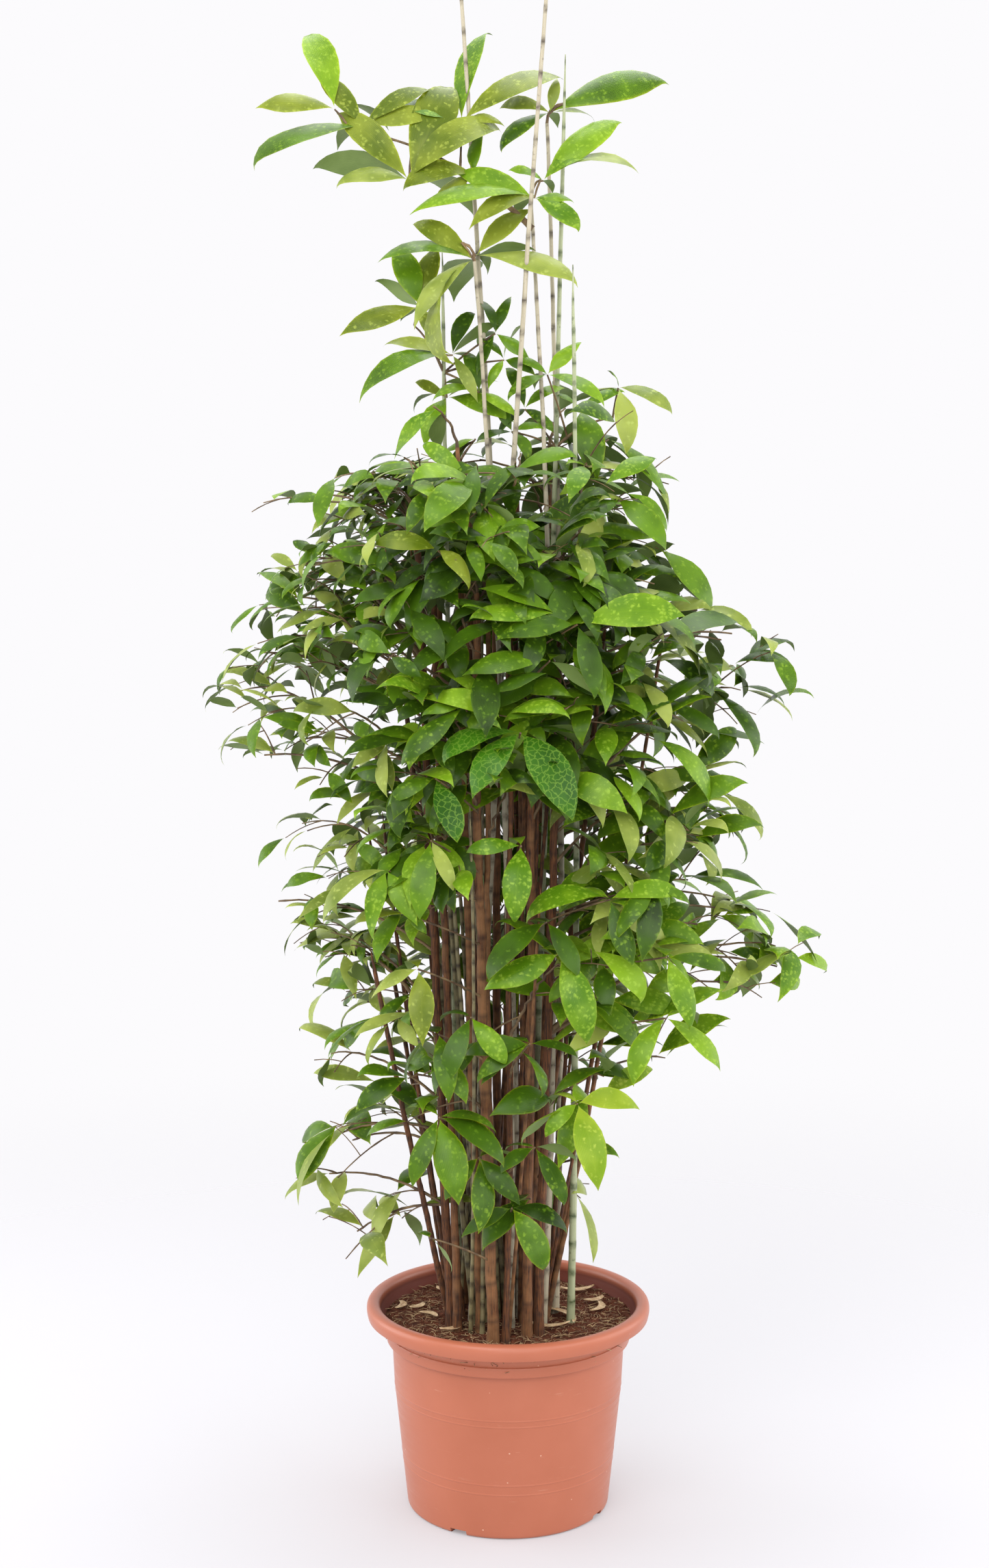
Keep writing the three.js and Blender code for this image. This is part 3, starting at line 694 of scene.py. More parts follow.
weathered = node("Mix", {"Factor": bare, "A": brown, "B": "#9a6e45"}, data_type="RGBA")
edge = node("Math", {0: ring, 1: 0.5}, operation="MULTIPLY")
ringed = node("Mix", {"Factor": edge, "A": weathered, "B": "#23150e"}, data_type="RGBA")
relief = node("Bump", {"Height": fibres, "Strength": 0.6, "Distance": 0.8 * MM})
feed(shader, {"Base Color": ringed, "Roughness": 0.78, "Normal": relief})

LIMB_TREE = limb_tree()
woody_limbs = [limb for stool in WOODY_STOOLS for limb in woody_pair(stool)]
woody_sizes = {
    "Step": 6 * MM,
    "Sides": 14,
    "Ring spacing": 27 * MM,
    "Ring width": 4 * MM,
    "Ring swell": 0.06,
    "Ridge width": 4.5 * MM,
    "Ridge length": 38 * MM,
    "Ridge height": 1.8 * MM,
    "Material": bark_material,
}
woody_mesh = limb_mesh("woody_stems", woody_limbs, WOODY_WOBBLE, seed=11, values=woody_sizes)
woody_nodes = [f"woody_canes_{i + 1}" for i in range(len(WOODY_STOOLS))]
add_piece("woody_stems", woody_mesh, woody_nodes)

# Ringed canes
# Younger, straighter stems like thin bamboo: some dried to straw, some still green, banded at each ring.
# The tall ones rise clear of the crown, and those that bear no leaves end in a drawn-out point. Slim young
# canes fill the clump between them, most of them brown, those left of the middle green.
TALL_RADIUS = 5.4
TALL_FLARE = 1.2
TALL_SLIMMING = 0.56
TALL_WOBBLE = 1.6
LEAFY_TIP_SHARE = 0.45
POINTED_TIP = 0.7
TallCane = namedtuple("TallCane", "stool tip bow leafy green")
TALL_CANES = {
    "tall_cane_1": TallCane(0, (-72, 20, 2200), (14, 0), False, False),
    "tall_cane_2": TallCane(4, (58, -52, 2185), (-10, -6), False, False),
    "tall_cane_3": TallCane(3, (76, 12, 2012), (4, 6), False, True),
    "tall_cane_4": TallCane(8, (52, 34, 1925), (14, 4), True, False),
    "tall_cane_5": TallCane(5, (30, -4, 1812), (22, -6), True, False),
    "tall_cane_6": TallCane(13, (85, -48, 1728), (8, -8), False, True),
    "tall_cane_7": TallCane(9, (-90, 6, 1750), (0, 6), False, True),
    "tall_cane_8": TallCane(2, (-46, -22, 1735), (16, -18), True, False),
}
SLIM_COUNT = 44
SLIM_SHIFT, SLIM_TILT = -16, 26
SLIM_FOOT_SPREAD = 74
SLIM_TRIES = 60
SLIM_RADII = (2.6, 4.6)
SLIM_TIP = 0.5
SLIM_FLARE_SHARE = 0.3
SLIM_LEAN = (0.3, 1.7)
SLIM_STRAY = 75
SLIM_BOW = 14
SLIM_CLEARANCE = 0.5
SLIM_HEIGHTS = (760, 1380)
SLIM_GREEN_SPAN = (-88, -10)


def tall_limb(cane):
    tip = np.array(cane.tip, dtype=float)
    tip_radius = LEAFY_TIP_SHARE * TALL_RADIUS if cane.leafy else POINTED_TIP
    foot = stool_foot(cane.stool)
    return cane_limb(foot, tip, cane.bow, TALL_RADIUS, tip_radius, TALL_FLARE, TALL_SLIMMING)


def cane_gap(points, skipped=None):
    """The least room between some points and the canes' bark."""
    room = math.inf
    for cane in canes:
        axis, radii = cane
        inside = points[(points[:, 2] > axis[0, 2]) & (points[:, 2] < axis[-1, 2])]
        if cane is skipped or len(inside) == 0:
            continue
        x, y, bark = (np.interp(inside[:, 2], axis[:, 2], side) for side in (axis[:, 0], axis[:, 1], radii))
        room = min(room, np.min(np.hypot(inside[:, 0] - x, inside[:, 1] - y) - bark))
    return room


def slim_limb(index):
    """A thin young cane at the first of a few places where it runs clear of the others."""
    draw = random_stream(seed=300 + index)
    for _ in range(SLIM_TRIES):
        foot = SLIM_FOOT_SPREAD * math.sqrt(draw()) * heading(360 * draw())
        foot += np.array([SLIM_SHIFT, 0, SOIL_LEVEL])
        lean = between(SLIM_LEAN, draw())
        tip = foot + lean * np.array([foot[0], foot[1], 0]) + SLIM_STRAY * heading(360 * draw())
        tip[0] += SLIM_TILT
        tip[2] = between(SLIM_HEIGHTS, draw())
        bow = (SLIM_BOW * (draw() - 0.5), SLIM_BOW * (draw() - 0.5))
        radius = between(SLIM_RADII, draw())
        limb = cane_limb(foot, tip, bow, radius, SLIM_TIP, SLIM_FLARE_SHARE * radius, WOODY_SLIMMING)
        if cane_gap(limb.points) > radius + SLIM_CLEARANCE:
            return limb
    return None


def is_green(limb):
    """Of the slim canes, those left of the middle are the youngest and still green."""
    middle = limb.points[CANE_STEPS // 2, 0]
    return SLIM_GREEN_SPAN[0] < middle < SLIM_GREEN_SPAN[1]


def cane_rind(name, pale, deep, band):
    """The smooth rind of a young cane: streaked lengthways, with a broken dark band at each ring."""
    material, node, shader = new_material(name)
    place = node("TexCoord").outputs["Object"]
    lengthways = (1 / (3 * MM), 1 / (3 * MM), 1 / (70 * MM))
    streak_place = node("Mapping", {"Vector": place, "Scale": lengthways})
    streak = node("TexNoise", {"Vector": streak_place, "Scale": 1, "Detail": 3})
    rind = node("Mix", {"Factor": streak, "A": pale, "B": deep}, data_type="RGBA")
    ring = node("Attribute", attribute_name="ring").outputs["Fac"]
    blotch = node("TexNoise", {"Vector": place, "Scale": 1 / (8 * MM), "Detail": 2})
    side = node("MapRange", {"Value": blotch, **over(0.4, 0.56, 0.5, 1)})
    scar = node("Math", {0: ring, 1: side}, operation="MULTIPLY")
    fleck = node("MapRange", {"Value": blotch, **over(0.62, 0.7, 0, 0.5)})
    dark = node("Math", {0: scar, 1: fleck}, operation="MAXIMUM")
    banded = node("Mix", {"Factor": dark, "A": rind, "B": band}, data_type="RGBA")
    relief = node("Bump", {"Height": streak, "Strength": 0.2, "Distance": 0.5 * MM})
    feed(shader, {"Base Color": banded, "Roughness": 0.5, "Normal": relief})
    return material


# Dried rind: pale straw with brown bands. Green rind: grey-green with dark green bands. Young rind: fawn.
straw_rind = cane_rind("dried_rind", "#c2b9a2", "#988d73", "#3c3021")
green_rind = cane_rind("green_rind", "#b6bb97", "#8a926a", "#34451a")
young_rind = cane_rind("young_rind", "#978b66", "#635c3a", "#2c2316")
tall_limbs = {name: tall_limb(cane) for name, cane in TALL_CANES.items()}
canes = woody_limbs + list(tall_limbs.values())
tall_sizes = {
    "Step": 5 * MM,
    "Sides": 12,
    "Ring spacing": 42 * MM,
    "Ring width": 8 * MM,
    "Ring swell": 0.08,
    "Ridge width": 6 * MM,
    "Ridge length": 60 * MM,
    "Ridge height": 0.6 * MM,
}
for piece_name, rind, green in (("straw_stems", straw_rind, False), ("green_stems", green_rind, True)):
    names = [name for name, cane in TALL_CANES.items() if cane.green == green]
    limbs = [tall_limbs[name] for name in names]
    stem_mesh = limb_mesh(piece_name, limbs, TALL_WOBBLE, seed=21, values={**tall_sizes, "Material": rind})
    add_piece(piece_name, stem_mesh, names)
slim_limbs = [limb for limb in map(slim_limb, range(SLIM_COUNT)) if limb is not None]
slim_sizes = {**tall_sizes, "Sides": 8, "Ring spacing": 25 * MM, "Ridge height": 0.8 * MM}
slim_pieces = [
    ("slim_brown_stems", False, 24, bark_material, "woody_cane"),
    ("slim_green_stems", True, 25, young_rind, "ringed_cane"),
]
for piece_name, green, seed, material, slot in slim_pieces:
    limbs = [limb for limb in slim_limbs if is_green(limb) == green]
    stem_mesh = limb_mesh(piece_name, limbs, TALL_WOBBLE, seed, {**slim_sizes, "Material": material})
    add_piece(piece_name, stem_mesh)

# Boughs, stems and twigs
# Side shoots leave the canes all the way up: in seven tiers, in between them and, near the top, in tufts.
# Each has a wiry stem, bare at first where it is long, that zigzags on into twigs no thicker than string.
Tier = namedtuple("Tier", "height rise sides scale twigs leaf full left azimuths")
# A tier's height, its stems' rise, its reach to the left, right, front and back, its scale, the twigs on a
# stem, the leaves' length, the share of them that grow, their size on the plant's left, and its azimuths.
TIERS = {
    "foot": Tier(480, 40, (340, 190, 235, 230), 0.74, 2, 112, 0.44, 0.95, [184, 282, 30]),
    "low": Tier(650, 60, (328, 310, 260, 260), 0.84, 2, 108, 0.5, 0.9, [180, 228, 312, 352, 85]),
    "broad_low": Tier(805, 110, (362, 460, 280, 290), 1, 4, 106, 0.9, 0.72, [172, 0, 292, 90]),
    "middle": Tier(975, 110, (344, 350, 285, 300), 1, 5, 110, 0.9, 0.7, [188, 240, 345, 92]),
    "broad_high": Tier(1160, 180, (446, 416, 300, 310), 1, 5, 112, 0.95, 0.7, [176, 246, 302, 4, 84]),
    "upper": Tier(1320, 120, (349, 290, 290, 290), 1, 4, 106, 0.9, 0.72, [184, 240, 300, 6, 96]),
    "crest": Tier(1450, 90, (300, 275, 240, 240), 0.92, 3, 106, 0.52, 0.75, [162, 272, 22]),
}
# How far the crown's leaves reach to the left and right at each height, and how deep it is at most.
OUTLINE_HEIGHTS = [365, 480, 570, 680, 740, 810, 900, 1000, 1060, 1160]
OUTLINE_HEIGHTS += [1215, 1250, 1330, 1410, 1470, 1510, 1580]
OUTLINE_LEFT = [306, 340, 250, 328, 300, 362, 342, 312, 390, 446, 440, 352, 334, 326, 190, 110, 70]
OUTLINE_RIGHT = [115, 150, 180, 250, 450, 440, 345, 362, 330, 400, 416, 390, 240, 250, 258, 215, 130]
OUTLINE_DEPTH = 1.25
# A spray may stop short of the outline, or pass it a little.
OUTLINE_SLACK = (0.86, 1.12)
LONG_REACH = 346
BOUGH_SHARE = 0.42
BOUGH_RADIUS = 4.6
STEM_RADIUS = 2.3
STEM_TIP_RADIUS = 1.25
STEM_ARCH = 0.2
STEM_STEPS = 16
STEM_HEADROOM = 15
SOLID_LEAF = 146
TIP_SHARE = 0.82
LIMB_CLEARANCE = 1.2
TWIG_LENGTH = 105
TWIG_SIZES = (0.65, 1.15)
TWIG_RADIUS = 1.25
TWIG_TIP_RADIUS = 0.8
FINE_TIP_SHARE = 0.8
TWIG_ARCH = 0.12
TWIG_SPLAY = 58
TWIG_SPLAYS = (0.6, 1.3)
TWIG_PITCH = (-30, 42)
TWIG_STEPS = 6
FIRST_TWIG, LAST_TWIG = 0.22, 0.9
LEAD_PITCH = -8
FINE_SHARE = 0.55
FINE_SPLAY = (30, 80)
ZIGZAG = 2.4
WHORL_ON_STEM, WHORL_ON_TWIG, WHORL_ON_FINE_TWIG = 4, 4, 3
WHORL_SPAN = (0.4, 1.0)
STEM_WHORL_SPLAY, TWIG_WHORL_SPLAY = 136, 122
STEM_END = 6
LEAF_PITCH = (-52, 32)
LEAF_TILT = 36
FRONT_PULL = 110
LEAF_SWAY = 20
LEAF_ROLL = 30
LEAF_SIZES = (0.7, 1.2)
LEAF_TRIES = 6
# Where along a leaf its room among the canes is measured.
BLADE_PLACES = np.linspace(0.25, 1, 4)[:, None]
END_LOSS, END_SPAN = 0.36, [130, 290]
# Shoots between the tiers turn round the clump by the golden angle, closer together the higher they are.
# Low down the front is left open, where the canes show, and so is the left side under its bare bough.
SHOOT_COUNT = 86
SHOOT_HEIGHTS = (520, 1505)
SHOOT_CROWDING = 0.76
SHOOT_RISE = (40, 110)
SHOOT_REACH, FRONT_REACH = (0.6, 1.0), (0.5, 0.8)
FRONT_AZIMUTHS, LEFT_AZIMUTHS = (236, 304), (130, 225)
SHOOT_SCALE = 0.9
SHOOT_TWIGS, LEFT_TWIGS = 2, 3
# Each open side's lowest and highest height, and its first and last azimuth.
OPEN_SIDES = [
    (520, 1000, 228, 312),
    (520, 760, 312, 360),
    (520, 740, 0, 50),
    (520, 640, 120, 228),
    (880, 1120, 150, 212),
    (1425, 1600, 222, 312),
]
# More shoots to the left and right: azimuth, height of the tip, reach and rise.
SIDE_SHOOTS = [
    (183, 395, 300, -45),
    (177, 525, 335, -20),
    (172, 515, 310, -10),
    (174, 1425, 330, 60),
    (184, 1415, 322, 50),
    (179, 1452, 300, 40),
    (190, 1340, 335, 60),
    (163, 1435, 280, 60),
    (187, 1262, 352, 40),
    (168, 1268, 350, 55),
    (182, 1210, 400, 90),
    (174, 1285, 372, 80),
    (199, 1235, 340, 70),
    (2, 1235, 400, 70),
    (357, 1268, 345, 60),
    (354, 1030, 320, 60),
    (2, 850, 390, 40),
    (351, 838, 350, 50),
    (171, 1085, 360, 40),
    (8, 1500, 225, 60),
    (184, 1070, 400, 70),
    (176, 860, 385, 60),
    (357, 775, 460, 30),
    (6, 985, 375, 60),
    (350, 900, 340, 60),
]
# In front the canes show below the crown, and again above it.
BARE_MIDDLE, BARE_HALF_WIDTH = 8, 40
BARE_TOP, FRONT_TOP = 1000, 1440
# Each woody cane's own tip goes on as a short leafy shoot.
END_LENGTH = 70
END_PITCHES = (80, 48)
END_SCALE = 0.8
# The kinds of leaf that grow on each tier to the right, at the back, to the left and in front, in equal
# shares: deep, middle and bright green, young yellow-green, and dull green. They are shared out as painted
# light and shade: the pale dull leaves on the sides, most of all on the shaded left, are painted light for
# the light that comes round and through the leaves there, and the deep leaves in front are painted shade
# for the darker middle of the crown.
KINDS_BY_SIDE_WITH_PAINTED_LIGHT = {
    "foot": ("bright dull", "deep middle", "dull middle dull", "middle bright deep"),
    "low": ("bright young bright", "deep middle", "middle dull dull", "middle middle deep"),
    "broad_low": ("bright dull bright", "deep middle", "dull dull middle", "bright middle deep"),
    "middle": ("dull middle middle", "deep middle", "dull dull middle", "middle deep bright"),
    "broad_high": ("middle dull deep", "deep middle", "middle dull dull", "deep deep middle bright"),
    "upper": ("middle dull deep", "deep middle", "middle dull middle", "deep deep middle"),
    "crest": ("middle dull bright", "deep middle", "middle dull bright", "middle deep bright"),
}
SIDE_ENDS = [45, 135, 215, 318]

Leaf = namedtuple("Leaf", "root facing pitch roll length kind")
bough_limbs, twig_limbs, leaves = [], [], []


def crown_reach(azimuth, height):
    """How far leaves may reach from the plant's axis at a height."""
    x, y, _ = heading(azimuth)
    across = np.interp(height, OUTLINE_HEIGHTS, OUTLINE_LEFT if x < 0 else OUTLINE_RIGHT)
    heights = [tier.height for tier in TIERS.values()]
    deep = np.interp(height, heights, [tier.sides[2 if y < 0 else 3] for tier in TIERS.values()])
    return 1 / math.hypot(x / across, y / min(deep, OUTLINE_DEPTH * across))


def within_crown(point, slack):
    x, y, z = point
    before_canes = y < 0 and abs(x - BARE_MIDDLE) < BARE_HALF_WIDTH
    if before_canes and (z < BARE_TOP or z > FRONT_TOP):
        return False
    return math.hypot(x, y) < slack * crown_reach(math.degrees(math.atan2(y, x)), z)


def axis_at(cane, height):
    """The point of a cane's axis at a height."""
    points = cane.points
    return np.array([np.interp(height, points[:, 2], points[:, axis]) for axis in (0, 1, 2)])


def stem_points(root, tip):
    knee = (root + tip) / 2 + upright(STEM_ARCH * np.linalg.norm(tip - root))
    return bent(root, knee, tip, STEM_STEPS)


def side_stem(azimuth, height, tip):
    """A stem to a tip from the outermost cane from which it runs clear of the others, if there is one."""
    open_canes = canes if height > WOODY_HEIGHTS[0] else woody_limbs
    risen = [cane for cane in open_canes if cane.points[-1, 2] > height + STEM_HEADROOM]
    risen.sort(key=lambda cane: -np.dot(axis_at(cane, height), heading(azimuth)))
    for cane in risen:
        stem = stem_points(axis_at(cane, height), tip)
        if cane_gap(stem, cane) > BOUGH_RADIUS + LIMB_CLEARANCE:
            return stem
    return None


def leaf_length(tier, azimuth):
    """Leaves are smaller on the plant's left."""
    loss = 1 - TIERS[tier].left
    return TIERS[tier].leaf * (1 - loss * max(0, -heading(azimuth)[0]))


def new_spray(name, tier, azimuth, stem, scale, twigs, **more):
    """A shoot to grow, with the kinds of leaf of its side of the plant."""
    side = sum(azimuth > end for end in SIDE_ENDS) % len(SIDE_ENDS)
    look = {"scale": scale, "twigs": twigs, "kinds": KINDS_BY_SIDE_WITH_PAINTED_LIGHT[tier][side].split()}
    return {"name": name, "tier": tier, "azimuth": azimuth, "stem": stem, **look, **more}


def tier_spray(name, number, azimuth):
    tier = TIERS[name]
    x, y, _ = heading(azimuth)
    left, right, front, back = tier.sides
    reach = 1 / math.hypot(x / (left if x < 0 else right), y / (front if y < 0 else back))
    tip = (reach - TIP_SHARE * tier.scale * SOLID_LEAF) * heading(azimuth) + upright(tier.height)
    stem = side_stem(azimuth, tier.height - tier.rise, tip)
    lead = TIP_SHARE * (tier.scale * SOLID_LEAF - leaf_length(name, azimuth))
    more = {"long": reach > LONG_REACH, "lead": lead}
    return new_spray(f"{name}_{number}", name, azimuth, stem, tier.scale, tier.twigs, **more)


def nearest_tier(height):
    return min(TIERS, key=lambda name: abs(TIERS[name].height - height))


def side_shoot(name, azimuth, height, reach, rise):
    tier = nearest_tier(height)
    tip = (reach - TIP_SHARE * leaf_length(tier, azimuth)) * heading(azimuth) + upright(height)
    twigs = LEFT_TWIGS if LEFT_AZIMUTHS[0] < azimuth < LEFT_AZIMUTHS[1] else SHOOT_TWIGS
    return new_spray(name, tier, azimuth, side_stem(azimuth, height - rise, tip), SHOOT_SCALE, twigs)


def infill_shoot(index):
    draw = random_stream(seed=5000 + index)
    height = between(SHOOT_HEIGHTS, ((index + 0.5) / SHOOT_COUNT) ** SHOOT_CROWDING)
    azimuth = GOLDEN_TURN * index % 360
    in_front = FRONT_AZIMUTHS[0] < azimuth < FRONT_AZIMUTHS[1]
    reach = crown_reach(azimuth, height) * between(FRONT_REACH if in_front else SHOOT_REACH, draw())
    shoot = side_shoot(f"shoot_{index}", azimuth, height, reach, between(SHOOT_RISE, draw()))
    for low, high, first, last in OPEN_SIDES:
        if low < height < high and first < azimuth < last:
            shoot["stem"] = None
    return shoot


def end_shoot(index, cane):
    tip = cane.points[-1]
    azimuth = math.degrees(math.atan2(tip[1], tip[0])) % 360
    first, last = (heading(azimuth, pitch) for pitch in END_PITCHES)
    stem = bent(tip, tip + 0.5 * END_LENGTH * first, tip + END_LENGTH * last, STEM_STEPS)
    return new_spray(f"end_{index}", nearest_tier(tip[2]), azimuth, stem, END_SCALE, SHOOT_TWIGS)


def add_twig(points, radius, tip_radius):
    twig_limbs.append(Limb(points, np.linspace(radius, tip_radius, len(points))))


def add_stem(stem, is_long):
    """Draws a stem, as a bare bough at first where it is long; gives the step at which the bough ends."""
    bare = round(BOUGH_SHARE * (STEM_STEPS - 1)) if is_long else 0
    if bare:
        bough_limbs.append(Limb(stem[: bare + 1], np.linspace(BOUGH_RADIUS, STEM_RADIUS, bare + 1)))
    add_twig(stem[bare:], STEM_RADIUS, STEM_TIP_RADIUS)
    return bare


def outward_roll(root, facing):
    """The roll that turns a leaf's upper side to the light, outward and to the front."""
    outward = math.atan2(root[1] - FRONT_PULL, root[0])
    return -LEAF_TILT * math.sin(outward - math.radians(facing))


def grow_whorl(points, azimuth, count, splay, spray, draw):
    """Leaves by turns to either side along the end of a twig, the last one straight ahead."""
    for i in range(count):
        order = i / (count - 1)
        place = between(WHORL_SPAN, order) * (len(points) - 1)
        low = min(int(place), len(points) - 2)
        root = points[low] + (place - low) * (points[low + 1] - points[low])
        turn = (1 - order) * (1 if i % 2 else -1)
        loss = END_LOSS * np.interp(abs(root[0]), END_SPAN, [0, 1])
        if draw() > TIERS[spray["tier"]].full - loss:
            continue
        for _ in range(LEAF_TRIES):
            facing = azimuth + splay * turn + LEAF_SWAY * (2 * draw() - 1)
            pitch = between(LEAF_PITCH, draw())
            roll = outward_roll(root, facing) + LEAF_ROLL * (2 * draw() - 1)
            length = leaf_length(spray["tier"], spray["azimuth"]) * between(LEAF_SIZES, draw())
            blade = root + BLADE_PLACES * length * heading(facing, pitch)
            if within_crown(blade[-1], spray["slack"]) and cane_gap(blade) > LIMB_CLEARANCE:
                kind = spray["kinds"][int(draw() * len(spray["kinds"]))]
                leaves.append(Leaf(root, facing, pitch, roll, length, kind))
                break


def grow_twig(start, azimuth, pitch, length):
    end = start + length * heading(azimuth, pitch)
    return bent(start, (start + end) / 2 + upright(TWIG_ARCH * length), end, TWIG_STEPS)


def grow_spray(spray, seed):
    """A stem with twigs by turns to either side, a finer twig on each, and whorls of leaves."""
    draw = random_stream(seed)
    spray["slack"] = between(OUTLINE_SLACK, draw())
    ahead = spray["azimuth"]
    stem = spray["stem"].copy()
    stem[1:-1] += ZIGZAG * np.where(np.arange(len(stem) - 2) % 2, 1, -1)[:, None] * heading(ahead + 90)
    bare = add_stem(stem, spray.get("long"))
    grow_whorl(stem[-STEM_END:], ahead, WHORL_ON_STEM, STEM_WHORL_SPLAY, spray, draw)
    if spray.get("lead", 0) > 0:
        lead = grow_twig(stem[-1], ahead, LEAD_PITCH, spray["lead"])
        add_twig(lead, STEM_TIP_RADIUS, TWIG_TIP_RADIUS)
        grow_whorl(lead, ahead, WHORL_ON_STEM, STEM_WHORL_SPLAY, spray, draw)
    for order, share in enumerate(np.linspace(FIRST_TWIG, LAST_TWIG, spray["twigs"])):
        place = bare + round(share * (STEM_STEPS - 1 - bare))
        hand = 1 if order % 2 else -1
        azimuth = ahead + hand * between(TWIG_SPLAYS, draw()) * TWIG_SPLAY
        pitch = between(TWIG_PITCH, draw())
        length = spray["scale"] * TWIG_LENGTH * between(TWIG_SIZES, draw())
        twig = grow_twig(stem[place], azimuth, pitch, length)
        if not within_crown(twig[-1], spray["slack"]):
            continue
        add_twig(twig, TWIG_RADIUS, TWIG_TIP_RADIUS)
        grow_whorl(twig, azimuth, WHORL_ON_TWIG, TWIG_WHORL_SPLAY, spray, draw)
        fine_azimuth = azimuth - hand * between(FINE_SPLAY, draw())
        fine_pitch = between(TWIG_PITCH, draw())
        fine = grow_twig(twig[TWIG_STEPS // 2], fine_azimuth, fine_pitch, FINE_SHARE * length)
        if within_crown(fine[-1], spray["slack"]):
            add_twig(fine, TWIG_TIP_RADIUS, FINE_TIP_SHARE * TWIG_TIP_RADIUS)
            grow_whorl(fine, fine_azimuth, WHORL_ON_FINE_TWIG, TWIG_WHORL_SPLAY, spray, draw)


sprays = []
for tier_name, tier in TIERS.items():
    sprays += [tier_spray(tier_name, i + 1, azimuth) for i, azimuth in enumerate(tier.azimuths)]
shoots = [infill_shoot(i) for i in range(SHOOT_COUNT)]
shoots += [side_shoot(f"side_{i}", *shoot) for i, shoot in enumerate(SIDE_SHOOTS)]
shoots += [end_shoot(i, cane) for i, cane in enumerate(woody_limbs)]
for index, spray in enumerate(sprays + [shoot for shoot in shoots if shoot["stem"] is not None]):
    grow_spray(spray, seed=8000 + 31 * index)

# Tufts: each stem leaves its cane at a height, or at the cane's tip, and bears whorls of long leaves.
# A whorl has the share of the stem where its twig starts, its place, its kinds of leaf and how far to the
# right and up each leaf tip lies, with the roll of leaves that are seen more edge-on or more from above.
TUFTS = {
    "tuft_left": {"cane": 5, "at": 1780, "azimuth": 176, "reach": 370, "climb": 130, "is_long": True},
    "tuft_right": {"cane": 4, "azimuth": 350, "reach": 150, "climb": 26},
    "tuft_middle": {"cane": 5, "azimuth": 300, "reach": 150, "climb": 30},
    "tuft_inner": {"cane": 8, "azimuth": 205, "reach": 145, "climb": 24},
    "tuft_side": {"cane": 7, "at": 1590, "azimuth": 200, "reach": 168, "climb": 62},
    "tuft_low": {"cane": 3, "at": 1490, "azimuth": 10, "reach": 205, "climb": 40},
}
TUFT_SCALE = 0.86
TUFT_WHORLS = {
    "tuft_left": [
        (1.0, (-234, 5, 1939), "bright olive", [(-42, 106), (-98, 2)]),
        (0.95, (-196, 8, 1917), "olive olive middle", [(-56, 70, -48), (84, 52, 50), (-146, -42), (92, 8)]),
        (0.7, (-134, -10, 1843), "olive middle dull olive",
         [(-98, 82), (-124, 32), (-98, -12), (60, 132, 46), (124, 78)]),
        (0.4, (-63, 15, 1924), "bright olive",
         [(34, 128, -16), (140, 58, 48), (-86, 20), (56, -4, 50), (-40, -34)]),
        (0.2, (-46, 0, 1852), "olive middle", [(-98, -18, -52), (8, 62), (-54, -36, -50)]),
    ],
    "tuft_right": [
        (1.0, (56, 32, 1938), "middle dull olive",
         [(146, 56), (60, -8), (-70, 8, -52), (-68, -56), (12, 48)]),
    ],
    "tuft_middle": [
        (0.8, (46, -14, 1842), "bright bright dull", [(100, 82), (64, 36), (124, 12), (-44, 16)]),
        (1.0, (34, -22, 1818), "bright bright olive",
         [(-98, 28), (-156, -24), (-86, -38, -50), (52, -6), (60, -44, 46)]),
    ],
    "tuft_inner": [
        (1.0, (-47, -24, 1736), "olive middle dull", [(-84, 46), (-124, -2), (-70, -92), (-34, -146, 46)]),
        (0.9, (-44, -22, 1742), "dull olive", [(132, -34, 34), (76, 58), (74, 6)]),
    ],
    "tuft_side": [
        (1.0, (-121, -4, 1676), "olive olive middle",
         [(-60, 34), (-94, -40), (-32, 84), (14, 80), (22, -50)]),
        (0.2, (-76, -10, 1612), "dull middle deep",
         [(-88, 14), (-124, -58, -30), (24, 62), (30, -60), (58, 40)]),
        (0.0, (-18, 6, 1642), "deep middle", [(22, 48), (46, -32), (-30, 46), (-26, -52)]),
        (0.0, (-6, 0, 1606), "middle bright", [(-36, 28), (26, 46), (40, -24), (-20, -40)]),
        (0.0, (-40, -12, 1562), "bright middle", [(-66, -12), (-46, 12), (46, -32), (-16, 54)]),
        (0.0, (-84, 8, 1556), "olive bright", [(-44, 20), (86, -30), (66, 20), (-30, -66)]),
    ],
    "tuft_low": [
        (1.0, (150, 22, 1570), "dull bright", [(72, -38), (-14, 24), (16, -86)]),
        (0.6, (98, 18, 1540), "middle bright", [(20, -96), (56, 30), (-36, 22)]),
        (0.0, (5, -14, 1509), "deep middle", [(-48, -14), (46, 6), (-24, 40), (20, -42)]),
        (0.0, (22, 10, 1541), "middle bright deep", [(-20, 58), (54, 26), (-38, -36), (38, -36)]),
        (0.2, (52, -20, 1585), "bright middle", [(76, -38), (-40, 20), (40, 46), (-54, -30)]),
    ],
}
# Rising leaves lean back and hanging ones forward, so that their upper sides show, apart from a few.
LEAF_LEAN = 0.45
LEAF_STRETCH = 1.12
WHORL_TILT = (18, 58)
WHORL_ARCH = 6
WHORL_GIRTH = 1.3
TURNED_OVER = 0.13
BACK_LEAF_PITCH = -12
BACK_LEAF_AZIMUTHS = (40, 140)
